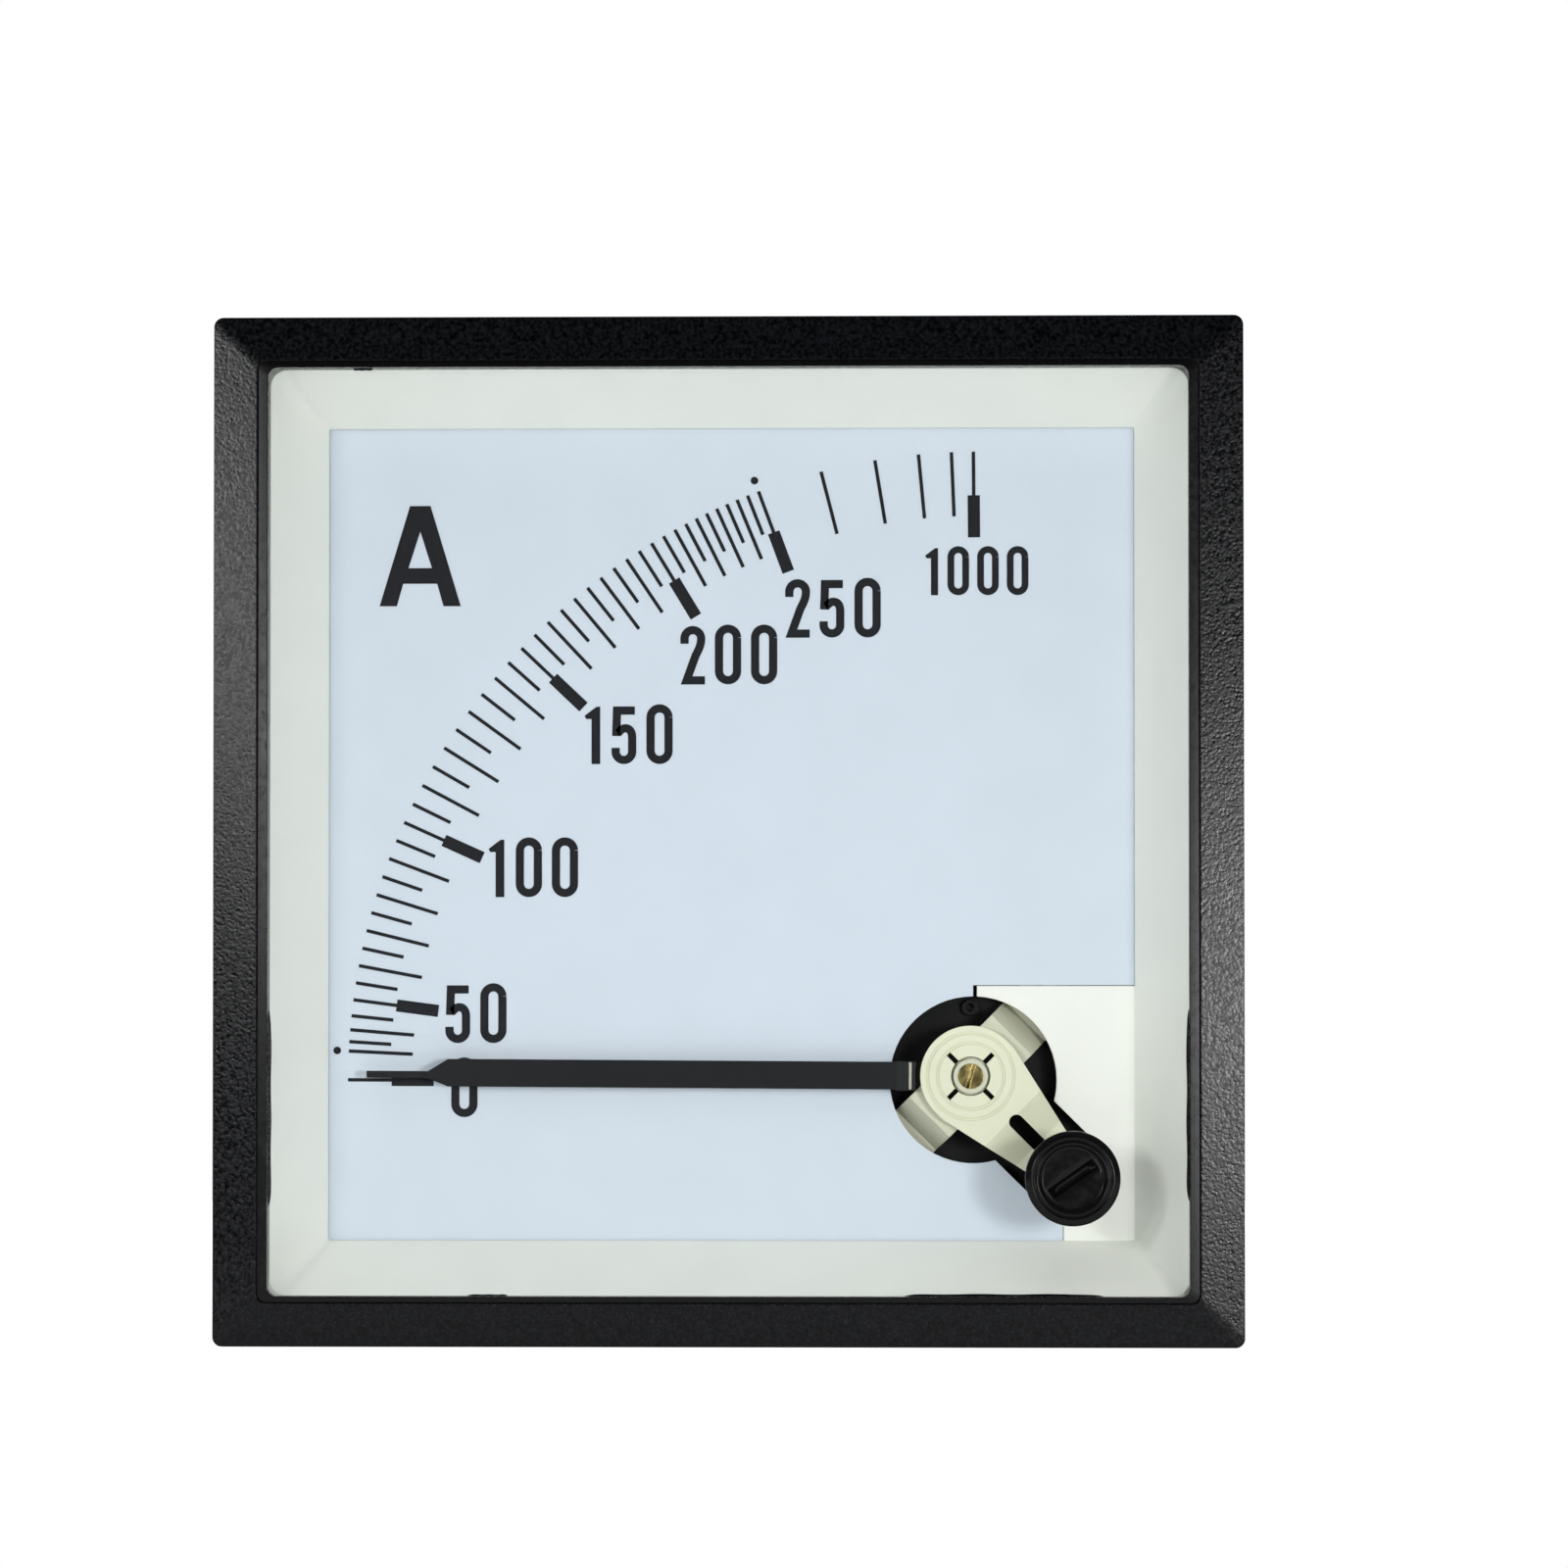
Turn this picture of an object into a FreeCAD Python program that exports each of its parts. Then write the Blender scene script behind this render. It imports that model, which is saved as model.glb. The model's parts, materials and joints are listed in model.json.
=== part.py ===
import FreeCAD, Part
import math
import os

import Sketcher
from FreeCAD import Placement, Rotation, Vector

os.makedirs("parts", exist_ok=True)
doc = FreeCAD.newDocument("PanelMeter")

# Driving sizes in millimetres and degrees. Every sub-part takes its shape and place from these.
SIZES = {
    # square front frame, sized by the 96 by 96 mm panel standard
    "bezel_side": 96.0,
    "bezel_deep": 5.5,
    "bezel_corner": 0.9,
    "bezel_face": 4.05,
    "bezel_slope": 0.45,
    "bezel_step": 1.5,
    "window_from_side": 5.1,
    "window_from_top": 4.7,
    "lip_deep": 1.9,
    "glass_thick": 1.8,
    "glass_gap": 0.2,
    "pocket_gap": 0.3,
    # housing behind the panel
    "panel_overlap": 3.0,
    "rear_room": 4.2,
    "case_wall": 1.5,
    "case_back": 2.2,
    "case_corner": 2.0,
    # snap tongues of the front frame and their seats in the housing
    "tongue_wide": 10.0,
    "tongue_deep": 7.0,
    "tongue_thick": 1.2,
    "tongue_rise": 25.0,
    "tooth_deep": 1.5,
    "tooth_high": 0.8,
    "tongue_gap": 0.3,
    "recess_deep": 0.8,
    # recesses that take the panel clamps
    "clamp_recess_wide": 8.0,
    "clamp_recess_long": 3.0,
    "clamp_recess_deep": 1.0,
    "clamp_recess_side": 30.0,
    "clamp_recess_start": 14.0,
    "clamp_recess_pitch": 7.0,
    # light sloping frame between the glass and the dial
    "flange_thick": 1.0,
    "mask_margin": 0.1,
    "mask_wall": 1.4,
    "mask_wall_front": 0.45,
    "mask_round_front": 1.6,
    "mask_round_back": 0.2,
    "mask_collar_gap": 1.5,
    "mask_collar_thick": 1.0,
    "reveal_side": 4.7,
    "reveal_top": 4.8,
    "lug_wide": 6.0,
    "lug_place": 22.0,
    "lug_lip": 1.2,
    "lug_lip_thick": 1.2,
    "lug_gap": 0.3,
    # dial sheet and the corner plate beside it
    "dial_depth": 6.5,
    "dial_thick": 0.6,
    "dial_slide_gap": 0.2,
    "dial_tuck": 1.5,
    "plate_thick": 1.2,
    "corner_line_right": 0.38,
    "corner_line_up": 8.55,
    "low_line_left": 0.64,
    "plate_side_gap": 0.36,
    "plate_top_gap": 0.06,
    "keyhole_right": 0.25,
    "keyhole_down": 0.37,
    "keyhole_radius": 7.9,
    "neck_half": 3.95,
    # printed scale
    "scale_right": 0.75,
    "scale_down": 0.60,
    "scale_from_side": 1.82,
    "short_mark": 4.0,
    "long_mark": 6.1,
    "thin_mark": 0.33,
    "bold_mark": 1.15,
    "bold_start": 4.15,
    "bold_end": 8.15,
    "dot_beyond": 1.1,
    "dot_radius": 0.36,
    "ink_thick": 0.04,
    # pivot of the movement, from the right and lower edges of the visible dial
    "pivot_from_side": 15.53,
    "pivot_from_bottom": 15.57,
    "lever_angle": 45.0,
    "adjuster_reach": 13.3,
    # zero lever
    "disc_front": 3.9,
    "disc_thick": 1.2,
    "disc_radius": 4.76,
    "disc_bore": 1.85,
    "slit_end": 2.96,
    "slit_wide": 0.46,
    "groove_wide": 0.26,
    "groove_deep": 0.14,
    "inner_groove": 3.0,
    "outer_groove": 3.95,
    "arm_past_adjuster": 1.5,
    "arm_taper": 0.215,
    "arm_bend": 5.6,
    "arm_ramp": 3.4,
    "arm_drop": 1.7,
    "lever_slot_start": 6.1,
    "lever_slot_half": 0.7,
    "lever_slot_past": 0.9,
    "anchor_reach": 4.2,
    "anchor_radius": 0.45,
    # zero adjuster in the glass
    "knob_radius": 4.43,
    "knob_high": 1.6,
    "knob_rim": 0.55,
    "knob_dish": 0.5,
    "knob_ring": 3.3,
    "knob_slot_long": 5.2,
    "knob_slot_wide": 1.2,
    "knob_slot_deep": 0.7,
    "knob_slot_turn": 12.0,
    "shank_radius": 2.3,
    "shank_gap": 0.07,
    "barb_radius": 2.75,
    "barb_thick": 0.6,
    "barb_gap": 0.2,
    "stalk_radius": 1.7,
    "stalk_gap": 0.4,
    "pin_radius": 0.6,
    "pin_offset": 0.6,
    # bridge over the pointer and its bush
    "bridge_gap": 0.1,
    "bridge_thick": 1.0,
    "bridge_wide": 5.35,
    "bridge_flat": 5.5,
    "bridge_foot_start": 7.3,
    "bridge_foot_end": 12.6,
    "bridge_bend": 0.5,
    "bridge_screw_reach": 10.5,
    "bush_radius": 1.62,
    "bush_guide": 1.8,
    "bush_guide_long": 0.7,
    "bush_recess_radius": 3.0,
    "bush_recess_deep": 0.6,
    "bush_proud": 0.2,
    # spindle and its jewel screws
    "spindle_radius": 0.6,
    "pivot_radius": 0.3,
    "pivot_gap": 0.06,
    "pivot_long": 1.5,
    "end_play": 0.2,
    "jewel_radius": 1.2,
    "jewel_proud": 0.1,
    "jewel_slot_wide": 0.36,
    "jewel_slot_deep": 0.5,
    "jewel_slot_angle": 75.0,
    # pointer
    "pointer_rest": 0.36,
    "pointer_half": 1.3,
    "pointer_high": 1.0,
    "pointer_web": 0.2,
    "pointer_start": 7.1,
    "pointer_from_scale": 2.7,
    "pointer_knife": 5.8,
    "pointer_wedge": 1.9,
    "tip_half": 0.33,
    "tip_low": 0.2,
    "clip_gap": 0.3,
    "clip_thick": 0.4,
    "clip_half": 1.2,
    "clip_riser": 5.7,
    "clip_rise": 1.3,
    "clip_end": 9.5,
    "hub_radius": 1.5,
    "hub_long": 1.0,
    # hairspring
    "spring_behind_hub": 0.2,
    "spring_tall": 0.6,
    "spring_strip": 0.12,
    "spring_gap": 0.05,
    "collet_radius": 1.2,
    "collet_long": 1.0,
    # movement frame
    "frame_head_gap": 0.5,
    "frame_thick": 2.2,
    "frame_case_gap": 1.57,
    "frame_hole": 2.0,
    "frame_fix_inset": 2.8,
    "post_radius": 2.6,
    "column_inset": 2.0,
    "column_radius": 1.8,
    "column_past_bobbin": 8.8,
    "eye_up": 6.47,
    "eye_radius": 0.78,
    "eye_hole": 0.36,
    "eye_high": 0.8,
    # small screws
    "screw_radius": 0.8,
    "screw_gap": 0.1,
    "screw_head": 1.5,
    "screw_head_high": 0.8,
    "movement_screw_long": 8.0,
    "rear_screw_long": 6.0,
    # coil and irons
    "bobbin_bore": 8.0,
    "bobbin_wall": 1.0,
    "bobbin_column_gap": 0.7,
    "bobbin_flange_thick": 1.2,
    "bobbin_long": 16.0,
    "winding_inset": 0.9,
    "fixed_iron_thick": 0.6,
    "fixed_iron_angle": 140.0,
    "iron_end_gap": 1.5,
    "moving_iron_radius": 6.4,
    "moving_iron_thick": 0.5,
    "moving_iron_angle": 50.0,
    "moving_iron_web": 0.8,
    "moving_iron_collar": 1.3,
    # balance and its stops
    "balance_behind": 3.1,
    "balance_rod": 0.35,
    "balance_collar": 1.2,
    "tail_column_gap": 0.2,
    "tail_tip": 0.6,
    "tail_weight_long": 6.0,
    "tail_weight_radius": 2.38,
    "side_long": 8.4,
    "side_weight_start": 4.8,
    "side_weight_long": 3.0,
    "side_weight_radius": 1.73,
    "stop_reach": 10.8,
    "stop_radius": 0.7,
    "stop_long": 3.4,
    "stop_before": 22.0,
    "stop_after": 112.0,
    # damper
    "cup_radius": 5.0,
    "cup_wall": 0.6,
    "cup_long": 3.4,
    "vane_radius": 3.9,
    "vane_thick": 0.4,
    "vane_hub": 1.1,
    "vane_hub_long": 1.2,
    # rear bridge
    "rear_bar_thick": 2.0,
    "rear_bar_half": 4.0,
    # terminals
    "stud_radius": 2.5,
    "stud_pitch_radius": 2.24,
    "stud_gap": 0.1,
    "stud_side": 20.0,
    "stud_head_flats": 8.0,
    "stud_head_high": 2.8,
    "stud_end": 5.0,
    "tag_thick": 0.8,
    "tag_wide": 5.0,
    "tag_reach": 9.6,
    "boss_half": 7.5,
    "boss_high": 2.0,
    "barrier_half_thick": 1.0,
    "barrier_half": 9.0,
    "barrier_high": 7.0,
    "washer_radius": 5.0,
    "washer_thick": 1.0,
    "nut_flats": 8.0,
    "nut_high": 4.0,
    "lead_radius": 0.5,
    "lead_exit": 11.6,
    "lead_rise": 7.0,
    "lead_step": 1.0,
    "lead_drop": 5.0,
}

# Numbers on the scale in amperes, and the angle of each above the zero line, clockwise.
SCALE_AMPERES = (0.0, 30.0, 50.0, 100.0, 150.0, 200.0, 250.0)
SCALE_ANGLES = (0.2, 2.82, 7.5, 24.34, 43.55, 58.8, 69.63)
OVERLOAD_ANGLES = (75.6, 80.6, 84.6, 87.6, 89.6)
FIRST_MARK = 30
LAST_MARK = 250
MARK_STEP = 5
LONG_STEP = 10
BOLD_STEP = 50
SPRING_HALF_TURNS = 9


class Size:
    """A number together with the sheet formula that gives it, so that sums keep both."""

    def __init__(self, number, formula):
        self.number = number
        self.formula = formula

    def joined(self, sign, other, number):
        return Size(number, "(%s %s %s)" % (self.formula, sign, as_size(other).formula))

    def __add__(self, other):
        return self.joined("+", other, self.number + as_size(other).number)

    def __sub__(self, other):
        return self.joined("-", other, self.number - as_size(other).number)

    def __mul__(self, other):
        return self.joined("*", other, self.number * as_size(other).number)

    def __truediv__(self, other):
        return self.joined("/", other, self.number / as_size(other).number)

    def __neg__(self):
        return as_size(0) - self

    def __rsub__(self, other):
        return as_size(other) - self

    def __rmul__(self, other):
        return as_size(other) * self


def as_size(value):
    """The value as a Size, whether it is one already or a plain number."""
    if isinstance(value, Size):
        return value
    return Size(float(value), repr(float(value)))


def cosine(angle):
    return Size(math.cos(math.radians(angle.number)), "cos(%s)" % angle.formula)


def sine(angle):
    return Size(math.sin(math.radians(angle.number)), "sin(%s)" % angle.formula)


def write_sheet():
    """Puts each driving size in a row of the sheet and returns a holder with one Size for each."""
    sheet = doc.addObject("Spreadsheet::Sheet", "Sizes")
    holder = type("Holder", (), {})()
    for row, (name, value) in enumerate(SIZES.items(), start=1):
        sheet.set("A%d" % row, name)
        sheet.set("B%d" % row, str(value))
        sheet.setAlias("B%d" % row, name)
        setattr(holder, name, Size(float(value), "Sizes." + name))
    doc.recompute()
    return holder


s = write_sheet()
ZERO = as_size(0)

# Depths along Y, from the front of the frame at minus bezel_deep to the terminals behind.
glass_front = s.lip_deep - s.bezel_deep
glass_back = glass_front + s.glass_thick
case_front = glass_back + s.flange_thick
mask_back = s.dial_depth - s.dial_slide_gap
dial_back = s.dial_depth + s.dial_thick
plate_back = mask_back + s.plate_thick
disc_back = s.disc_front + s.disc_thick
bridge_front = disc_back + s.bridge_gap
bridge_back = bridge_front + s.bridge_thick
foot_front = plate_back + s.frame_head_gap + s.screw_head_high
frame_front = foot_front + s.bridge_thick
bush_front = s.disc_front - s.bush_proud
jewel_front = bush_front - s.jewel_proud
clip_front = bridge_back + s.clip_gap
tongue_front = clip_front - s.clip_rise
pointer_front = tongue_front - s.pointer_high
hub_back = clip_front + s.hub_long
collet_front = hub_back + s.spring_behind_hub / 2
spring_front = hub_back + s.spring_behind_hub
frame_back = frame_front + s.frame_thick
bobbin_back = frame_back + s.bobbin_long
balance_depth = bobbin_back + s.balance_behind
rear_bar_front = bobbin_back + s.column_past_bobbin
rear_bar_back = rear_bar_front + s.rear_bar_thick
cup_front = rear_bar_front - s.cup_long
case_inside_back = rear_bar_back + s.rear_room
case_outside_back = case_inside_back + s.case_back
tag_front = case_inside_back - s.tag_thick
stud_head_front = tag_front - s.stud_head_high
boss_back = case_outside_back + s.boss_high
washer_back = boss_back + s.washer_thick
nut_back = washer_back + s.nut_high

# Half sizes and places in the front view, X to the right and Z up.
bezel_half = s.bezel_side / 2
window_half_x = bezel_half - s.window_from_side
window_half_z = bezel_half - s.window_from_top
case_half = bezel_half - s.panel_overlap
case_inner = case_half - s.case_wall
mask_open_x = window_half_x + s.mask_margin
mask_open_z = window_half_z + s.mask_margin
view_half_x = window_half_x - s.reveal_side
view_half_z = window_half_z - s.reveal_top
collar_half = case_inner - s.mask_collar_gap
dial_half_x = view_half_x + s.dial_tuck
dial_half_z = view_half_z + s.dial_tuck
pivot_x = view_half_x - s.pivot_from_side
pivot_z = s.pivot_from_bottom - view_half_z
adjuster_x = pivot_x + s.adjuster_reach * cosine(s.lever_angle)
adjuster_z = pivot_z - s.adjuster_reach * sine(s.lever_angle)
keyhole_x = pivot_x + s.keyhole_right
keyhole_z = pivot_z - s.keyhole_down
corner_line_x = keyhole_x + s.corner_line_right / 2
corner_line_z = pivot_z + s.corner_line_up
low_line_x = adjuster_x - s.low_line_left
scale_x = pivot_x + s.scale_right
scale_z = pivot_z - s.scale_down
scale_radius = view_half_x + scale_x - s.scale_from_side
pointer_tip = scale_radius - s.pointer_from_scale
pointer_wedge = pointer_tip - s.pointer_knife
pointer_full = pointer_wedge - s.pointer_wedge
arm_end = s.adjuster_reach + s.arm_past_adjuster
frame_half = case_inner + pivot_z - s.frame_case_gap
frame_fix = frame_half - s.frame_fix_inset
column_reach = frame_half - s.column_inset
bobbin_flange = column_reach - s.column_radius - s.bobbin_column_gap
winding_radius = bobbin_flange - s.winding_inset
tail_long = column_reach - s.column_radius - s.tail_column_gap
tail_weight_start = tail_long - s.tail_tip - s.tail_weight_long


def bind(thing, path, size):
    """Ties one property of an object of the document to the sheet."""
    thing.setExpression(path, as_size(size).formula)


def new_body(label, x=ZERO, z=ZERO, turn=ZERO):
    """A body whose own frame sits at x, z and is turned about Y, clockwise in the front view."""
    body = doc.addObject("PartDesign::Body", label)
    body.Label = label
    body.AllowCompound = True
    body.Placement = Placement(Vector(x.number, 0, z.number), Rotation(Vector(0, 1, 0), turn.number))
    bind(body, "Placement.Base.x", x)
    bind(body, "Placement.Base.z", z)
    if turn.number:
        bind(body, "Placement.Rotation.Angle", turn)
    return body


def new_sketch(body, name, role, offset):
    """A sketch on one of the body's own planes, moved along that plane's normal."""
    planes = [plane for plane in body.Origin.OriginFeatures if plane.Role == role]
    sketch = body.newObject("Sketcher::SketchObject", body.Name + "_" + name)
    sketch.AttachmentSupport = [(planes[0], "")]
    sketch.MapMode = "FlatFace"
    sketch.AttachmentOffset = Placement(Vector(0, 0, offset.number), Rotation())
    bind(sketch, "AttachmentOffset.Base.z", offset)
    return sketch


def front_sketch(body, name, depth):
    """A sketch in the front view, X right and Z up, at a depth along Y."""
    return new_sketch(body, name, "XZ_Plane", -as_size(depth))


def section_sketch(body, name, height=ZERO):
    """A sketch seen from above, X right and Y away from the front, at a height along Z."""
    return new_sketch(body, name, "XY_Plane", as_size(height))


def side_sketch(body, name, place=ZERO):
    """A sketch seen from the side, Y away from the front and Z up, at a place along X."""
    return new_sketch(body, name, "YZ_Plane", as_size(place))


def hold_point(sketch, line, end, x, y):
    """Fixes one end of a line, or the middle of a circle, by its two distances from the origin."""
    for axis, kind, size in ((-2, "DistanceX", as_size(x)), (-1, "DistanceY", as_size(y))):
        if size.formula == ZERO.formula:
            sketch.addConstraint(Sketcher.Constraint("PointOnObject", line, end, axis))
        else:
            index = sketch.addConstraint(Sketcher.Constraint(kind, line, end, size.number))
            bind(sketch, "Constraints[%d]" % index, size)


def polygon(sketch, corners):
    """A closed chain of straight lines through the corners."""
    corners = [(as_size(x), as_size(y)) for x, y in corners]
    points = [Vector(x.number, y.number, 0) for x, y in corners]
    first = sketch.GeometryCount
    count = len(points)
    for i in range(count):
        sketch.addGeometry(Part.LineSegment(points[i], points[(i + 1) % count]), False)
    for i in range(count):
        sketch.addConstraint(Sketcher.Constraint("Coincident", first + i, 2, first + (i + 1) % count, 1))
    for i, (x, y) in enumerate(corners):
        hold_point(sketch, first + i, 1, x, y)


def rectangle(sketch, x0, x1, y0, y1):
    polygon(sketch, [(x0, y0), (x1, y0), (x1, y1), (x0, y1)])


def square(sketch, half):
    rectangle(sketch, -half, half, -half, half)


def circle(sketch, x, y, radius):
    centre = Vector(as_size(x).number, as_size(y).number, 0)
    index = sketch.addGeometry(Part.Circle(centre, Vector(0, 0, 1), radius.number), False)
    hold_point(sketch, index, 3, x, y)
    constraint = sketch.addConstraint(Sketcher.Constraint("Radius", index, radius.number))
    bind(sketch, "Constraints[%d]" % constraint, radius)


def hexagon(sketch, x, y, flats):
    """A hexagon with two level sides, from its width across flats."""
    corner = flats / (2 * cosine(as_size(30)))
    corners = []
    for step in range(6):
        angle = as_size(60 * step)
        corners.append((as_size(x) + corner * cosine(angle), as_size(y) + corner * sine(angle)))
    polygon(sketch, corners)


def rounded_rectangle(sketch, half_x, half_y, radius):
    """Four lines joined by four tangent arcs of one radius, centred on the origin."""
    hx, hy, r = half_x.number, half_y.number, radius.number
    corners = [(hx - r, hy - r, 0), (r - hx, hy - r, 90), (r - hx, r - hy, 180), (hx - r, r - hy, 270)]
    for cx, cy, start in corners:
        round_edge = Part.Circle(Vector(cx, cy, 0), Vector(0, 0, 1), r)
        first, last = math.radians(start), math.radians(start + 90)
        sketch.addGeometry(Part.ArcOfCircle(round_edge, first, last), False)
    ends = [((hx - r, hy), (r - hx, hy)), ((-hx, hy - r), (-hx, r - hy)),
            ((r - hx, -hy), (hx - r, -hy)), ((hx, r - hy), (hx, hy - r))]
    for start, end in ends:
        sketch.addGeometry(Part.LineSegment(Vector(*start, 0), Vector(*end, 0)), False)
    for i in range(4):
        sketch.addConstraint(Sketcher.Constraint("Tangent", i, 2, 4 + i, 1))
        sketch.addConstraint(Sketcher.Constraint("Tangent", 4 + i, 2, (i + 1) % 4, 1))
    for line, kind in ((4, "Horizontal"), (5, "Vertical"), (6, "Horizontal"), (7, "Vertical")):
        sketch.addConstraint(Sketcher.Constraint(kind, line))
    for i in range(1, 4):
        sketch.addConstraint(Sketcher.Constraint("Equal", 0, i))
    places = (("Radius", (0,), radius), ("DistanceY", (4, 1), half_y), ("DistanceX", (5, 1), -half_x),
              ("DistanceY", (6, 1), -half_y), ("DistanceX", (7, 1), half_x))
    for kind, where, size in places:
        index = sketch.addConstraint(Sketcher.Constraint(kind, *where, size.number))
        bind(sketch, "Constraints[%d]" % index, size)


def pad(sketch, length, reverse=True, symmetric=False):
    """Adds material from a sketch: away from the front unless reverse is off."""
    body = sketch.getParentGeoFeatureGroup()
    feature = body.newObject("PartDesign::Pad", sketch.Name + "_pad")
    feature.Profile = sketch
    feature.Reversed = reverse and not symmetric
    feature.SideType = "Symmetric" if symmetric else "One side"
    bind(feature, "Length", length)
    return feature


def pocket(sketch, length, reverse=False):
    """Cuts from a sketch: away from the front unless it is reversed."""
    body = sketch.getParentGeoFeatureGroup()
    feature = body.newObject("PartDesign::Pocket", sketch.Name + "_pocket")
    feature.Profile = sketch
    feature.Reversed = reverse
    bind(feature, "Length", length)
    return feature


def revolve(sketch, angle=as_size(360), midplane=False):
    """Turns a section about the body's own Y axis."""
    body = sketch.getParentGeoFeatureGroup()
    feature = body.newObject("PartDesign::Revolution", sketch.Name + "_turned")
    feature.Profile = sketch
    feature.ReferenceAxis = (sketch, ["V_Axis"])
    feature.Midplane = midplane
    bind(feature, "Angle", angle)
    return feature


def loft(first, last, kind="PartDesign::AdditiveLoft"):
    """A ruled loft between two sketches."""
    body = first.getParentGeoFeatureGroup()
    feature = body.newObject(kind, first.Name + "_loft")
    feature.Profile = first
    feature.Sections = [last]
    feature.Ruled = True
    return feature


def round_edges(feature, name, radius, wanted):
    """Fillets the edges of a feature whose middle point passes a test."""
    doc.recompute()
    body = feature.getParentGeoFeatureGroup()
    names = []
    for number, edge in enumerate(feature.Shape.Edges, start=1):
        middle = edge.valueAt((edge.FirstParameter + edge.LastParameter) / 2)
        if wanted(edge, middle):
            names.append("Edge%d" % number)
    rounded = body.newObject("PartDesign::Fillet", body.Name + "_" + name)
    rounded.Base = (feature, names)
    bind(rounded, "Radius", radius)
    return rounded


def runs_deep(edge, middle):
    """True for a straight edge along Y."""
    ends = [vertex.Point for vertex in edge.Vertexes]
    return len(ends) == 2 and abs(abs(ends[1].y - ends[0].y) - edge.Length) < 1e-6


def ring(body, name, inner, outer, front, back, angle=as_size(360), midplane=False):
    """A turned ring about the body's Y axis between two radii and two depths."""
    sketch = section_sketch(body, name)
    rectangle(sketch, inner, outer, front, back)
    return revolve(sketch, angle, midplane)


def four_corners(reach):
    """The corners of a square about the pivot."""
    return [(pivot_x + reach * i, pivot_z + reach * j) for i in (-1, 1) for j in (-1, 1)]


def bridge_screw_places():
    """Both ends of the front bridge, which runs at right angles to the zero lever."""
    along_x = s.bridge_screw_reach * sine(s.lever_angle)
    along_z = s.bridge_screw_reach * cosine(s.lever_angle)
    return [(pivot_x + along_x * i, pivot_z + along_z * i) for i in (-1, 1)]


def column_places():
    return [(pivot_x + column_reach * i, pivot_z) for i in (-1, 1)]


def stud_places():
    return [(s.stud_side * i, ZERO) for i in (-1, 1)]


def tongue_places():
    """Side, minus one for left, and height of each snap tongue."""
    return [(side, s.tongue_rise * level) for side in (-1, 1) for level in (-1, 1)]


def side_block(sketch, side, x_near, x_far, z_middle, half):
    """A rectangle on the left or right, between two distances from the middle."""
    x_edges = (x_near, x_far) if side > 0 else (-x_far, -x_near)
    rectangle(sketch, x_edges[0], x_edges[1], z_middle - half, z_middle + half)


def make_bezel_frame():
    """Square front frame: stepped window, seat for the glass, four snap tongues."""
    body = new_body("bezel_frame")
    outline = front_sketch(body, "outline", s.bezel_slope - s.bezel_deep)
    rounded_rectangle(outline, bezel_half, bezel_half, s.bezel_corner)
    pad(outline, s.bezel_deep - s.bezel_slope)
    slope_edge = front_sketch(body, "slope_edge", s.bezel_slope - s.bezel_deep)
    rounded_rectangle(slope_edge, bezel_half, bezel_half, s.bezel_corner)
    face_half = bezel_half - s.bezel_face
    slope_top = front_sketch(body, "slope_top", -s.bezel_deep)
    rounded_rectangle(slope_top, face_half, face_half, s.bezel_corner)
    loft(slope_edge, slope_top)
    window = front_sketch(body, "window", -s.bezel_deep)
    rectangle(window, -window_half_x, window_half_x, -window_half_z, window_half_z)
    pocket(window, s.bezel_deep)
    face_edge = front_sketch(body, "face_edge", -s.bezel_deep)
    rounded_rectangle(face_edge, face_half, face_half, s.bezel_corner)
    step_edge = front_sketch(body, "step_edge", s.bezel_step - s.bezel_deep)
    rounded_rectangle(step_edge, window_half_x, window_half_z, s.bezel_corner / 2)
    loft(face_edge, step_edge, "PartDesign::SubtractiveLoft")
    seat = front_sketch(body, "seat", glass_front)
    square(seat, case_half + s.pocket_gap)
    pocket(seat, -glass_front)
    blade_near = case_half - s.recess_deep + s.tongue_gap / 2
    blade_far = blade_near + s.tongue_thick
    half = s.tongue_wide / 2
    root_front = case_front + s.tongue_gap / 3
    root = front_sketch(body, "tongue_roots", root_front)
    blade = front_sketch(body, "tongue_blades", ZERO)
    tooth = front_sketch(body, "tongue_teeth", s.tongue_deep - s.tooth_deep)
    for side, level in tongue_places():
        side_block(root, side, blade_near, blade_far + s.pocket_gap * 3, level, half)
        side_block(blade, side, blade_near, blade_far, level, half)
        side_block(tooth, side, blade_near - s.tooth_high, blade_far - s.tongue_thick / 2, level, half)
    pad(root, -root_front)
    pad(blade, s.tongue_deep)
    pad(tooth, s.tooth_deep)


def make_window_glass():
    """Clear pane behind the frame's lip, with the bore of the zero adjuster."""
    body = new_body("window_glass")
    pane = front_sketch(body, "pane", glass_front)
    square(pane, case_half + s.pocket_gap - s.glass_gap)
    circle(pane, adjuster_x, adjuster_z, s.shank_radius + s.shank_gap)
    pad(pane, s.glass_thick)


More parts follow.
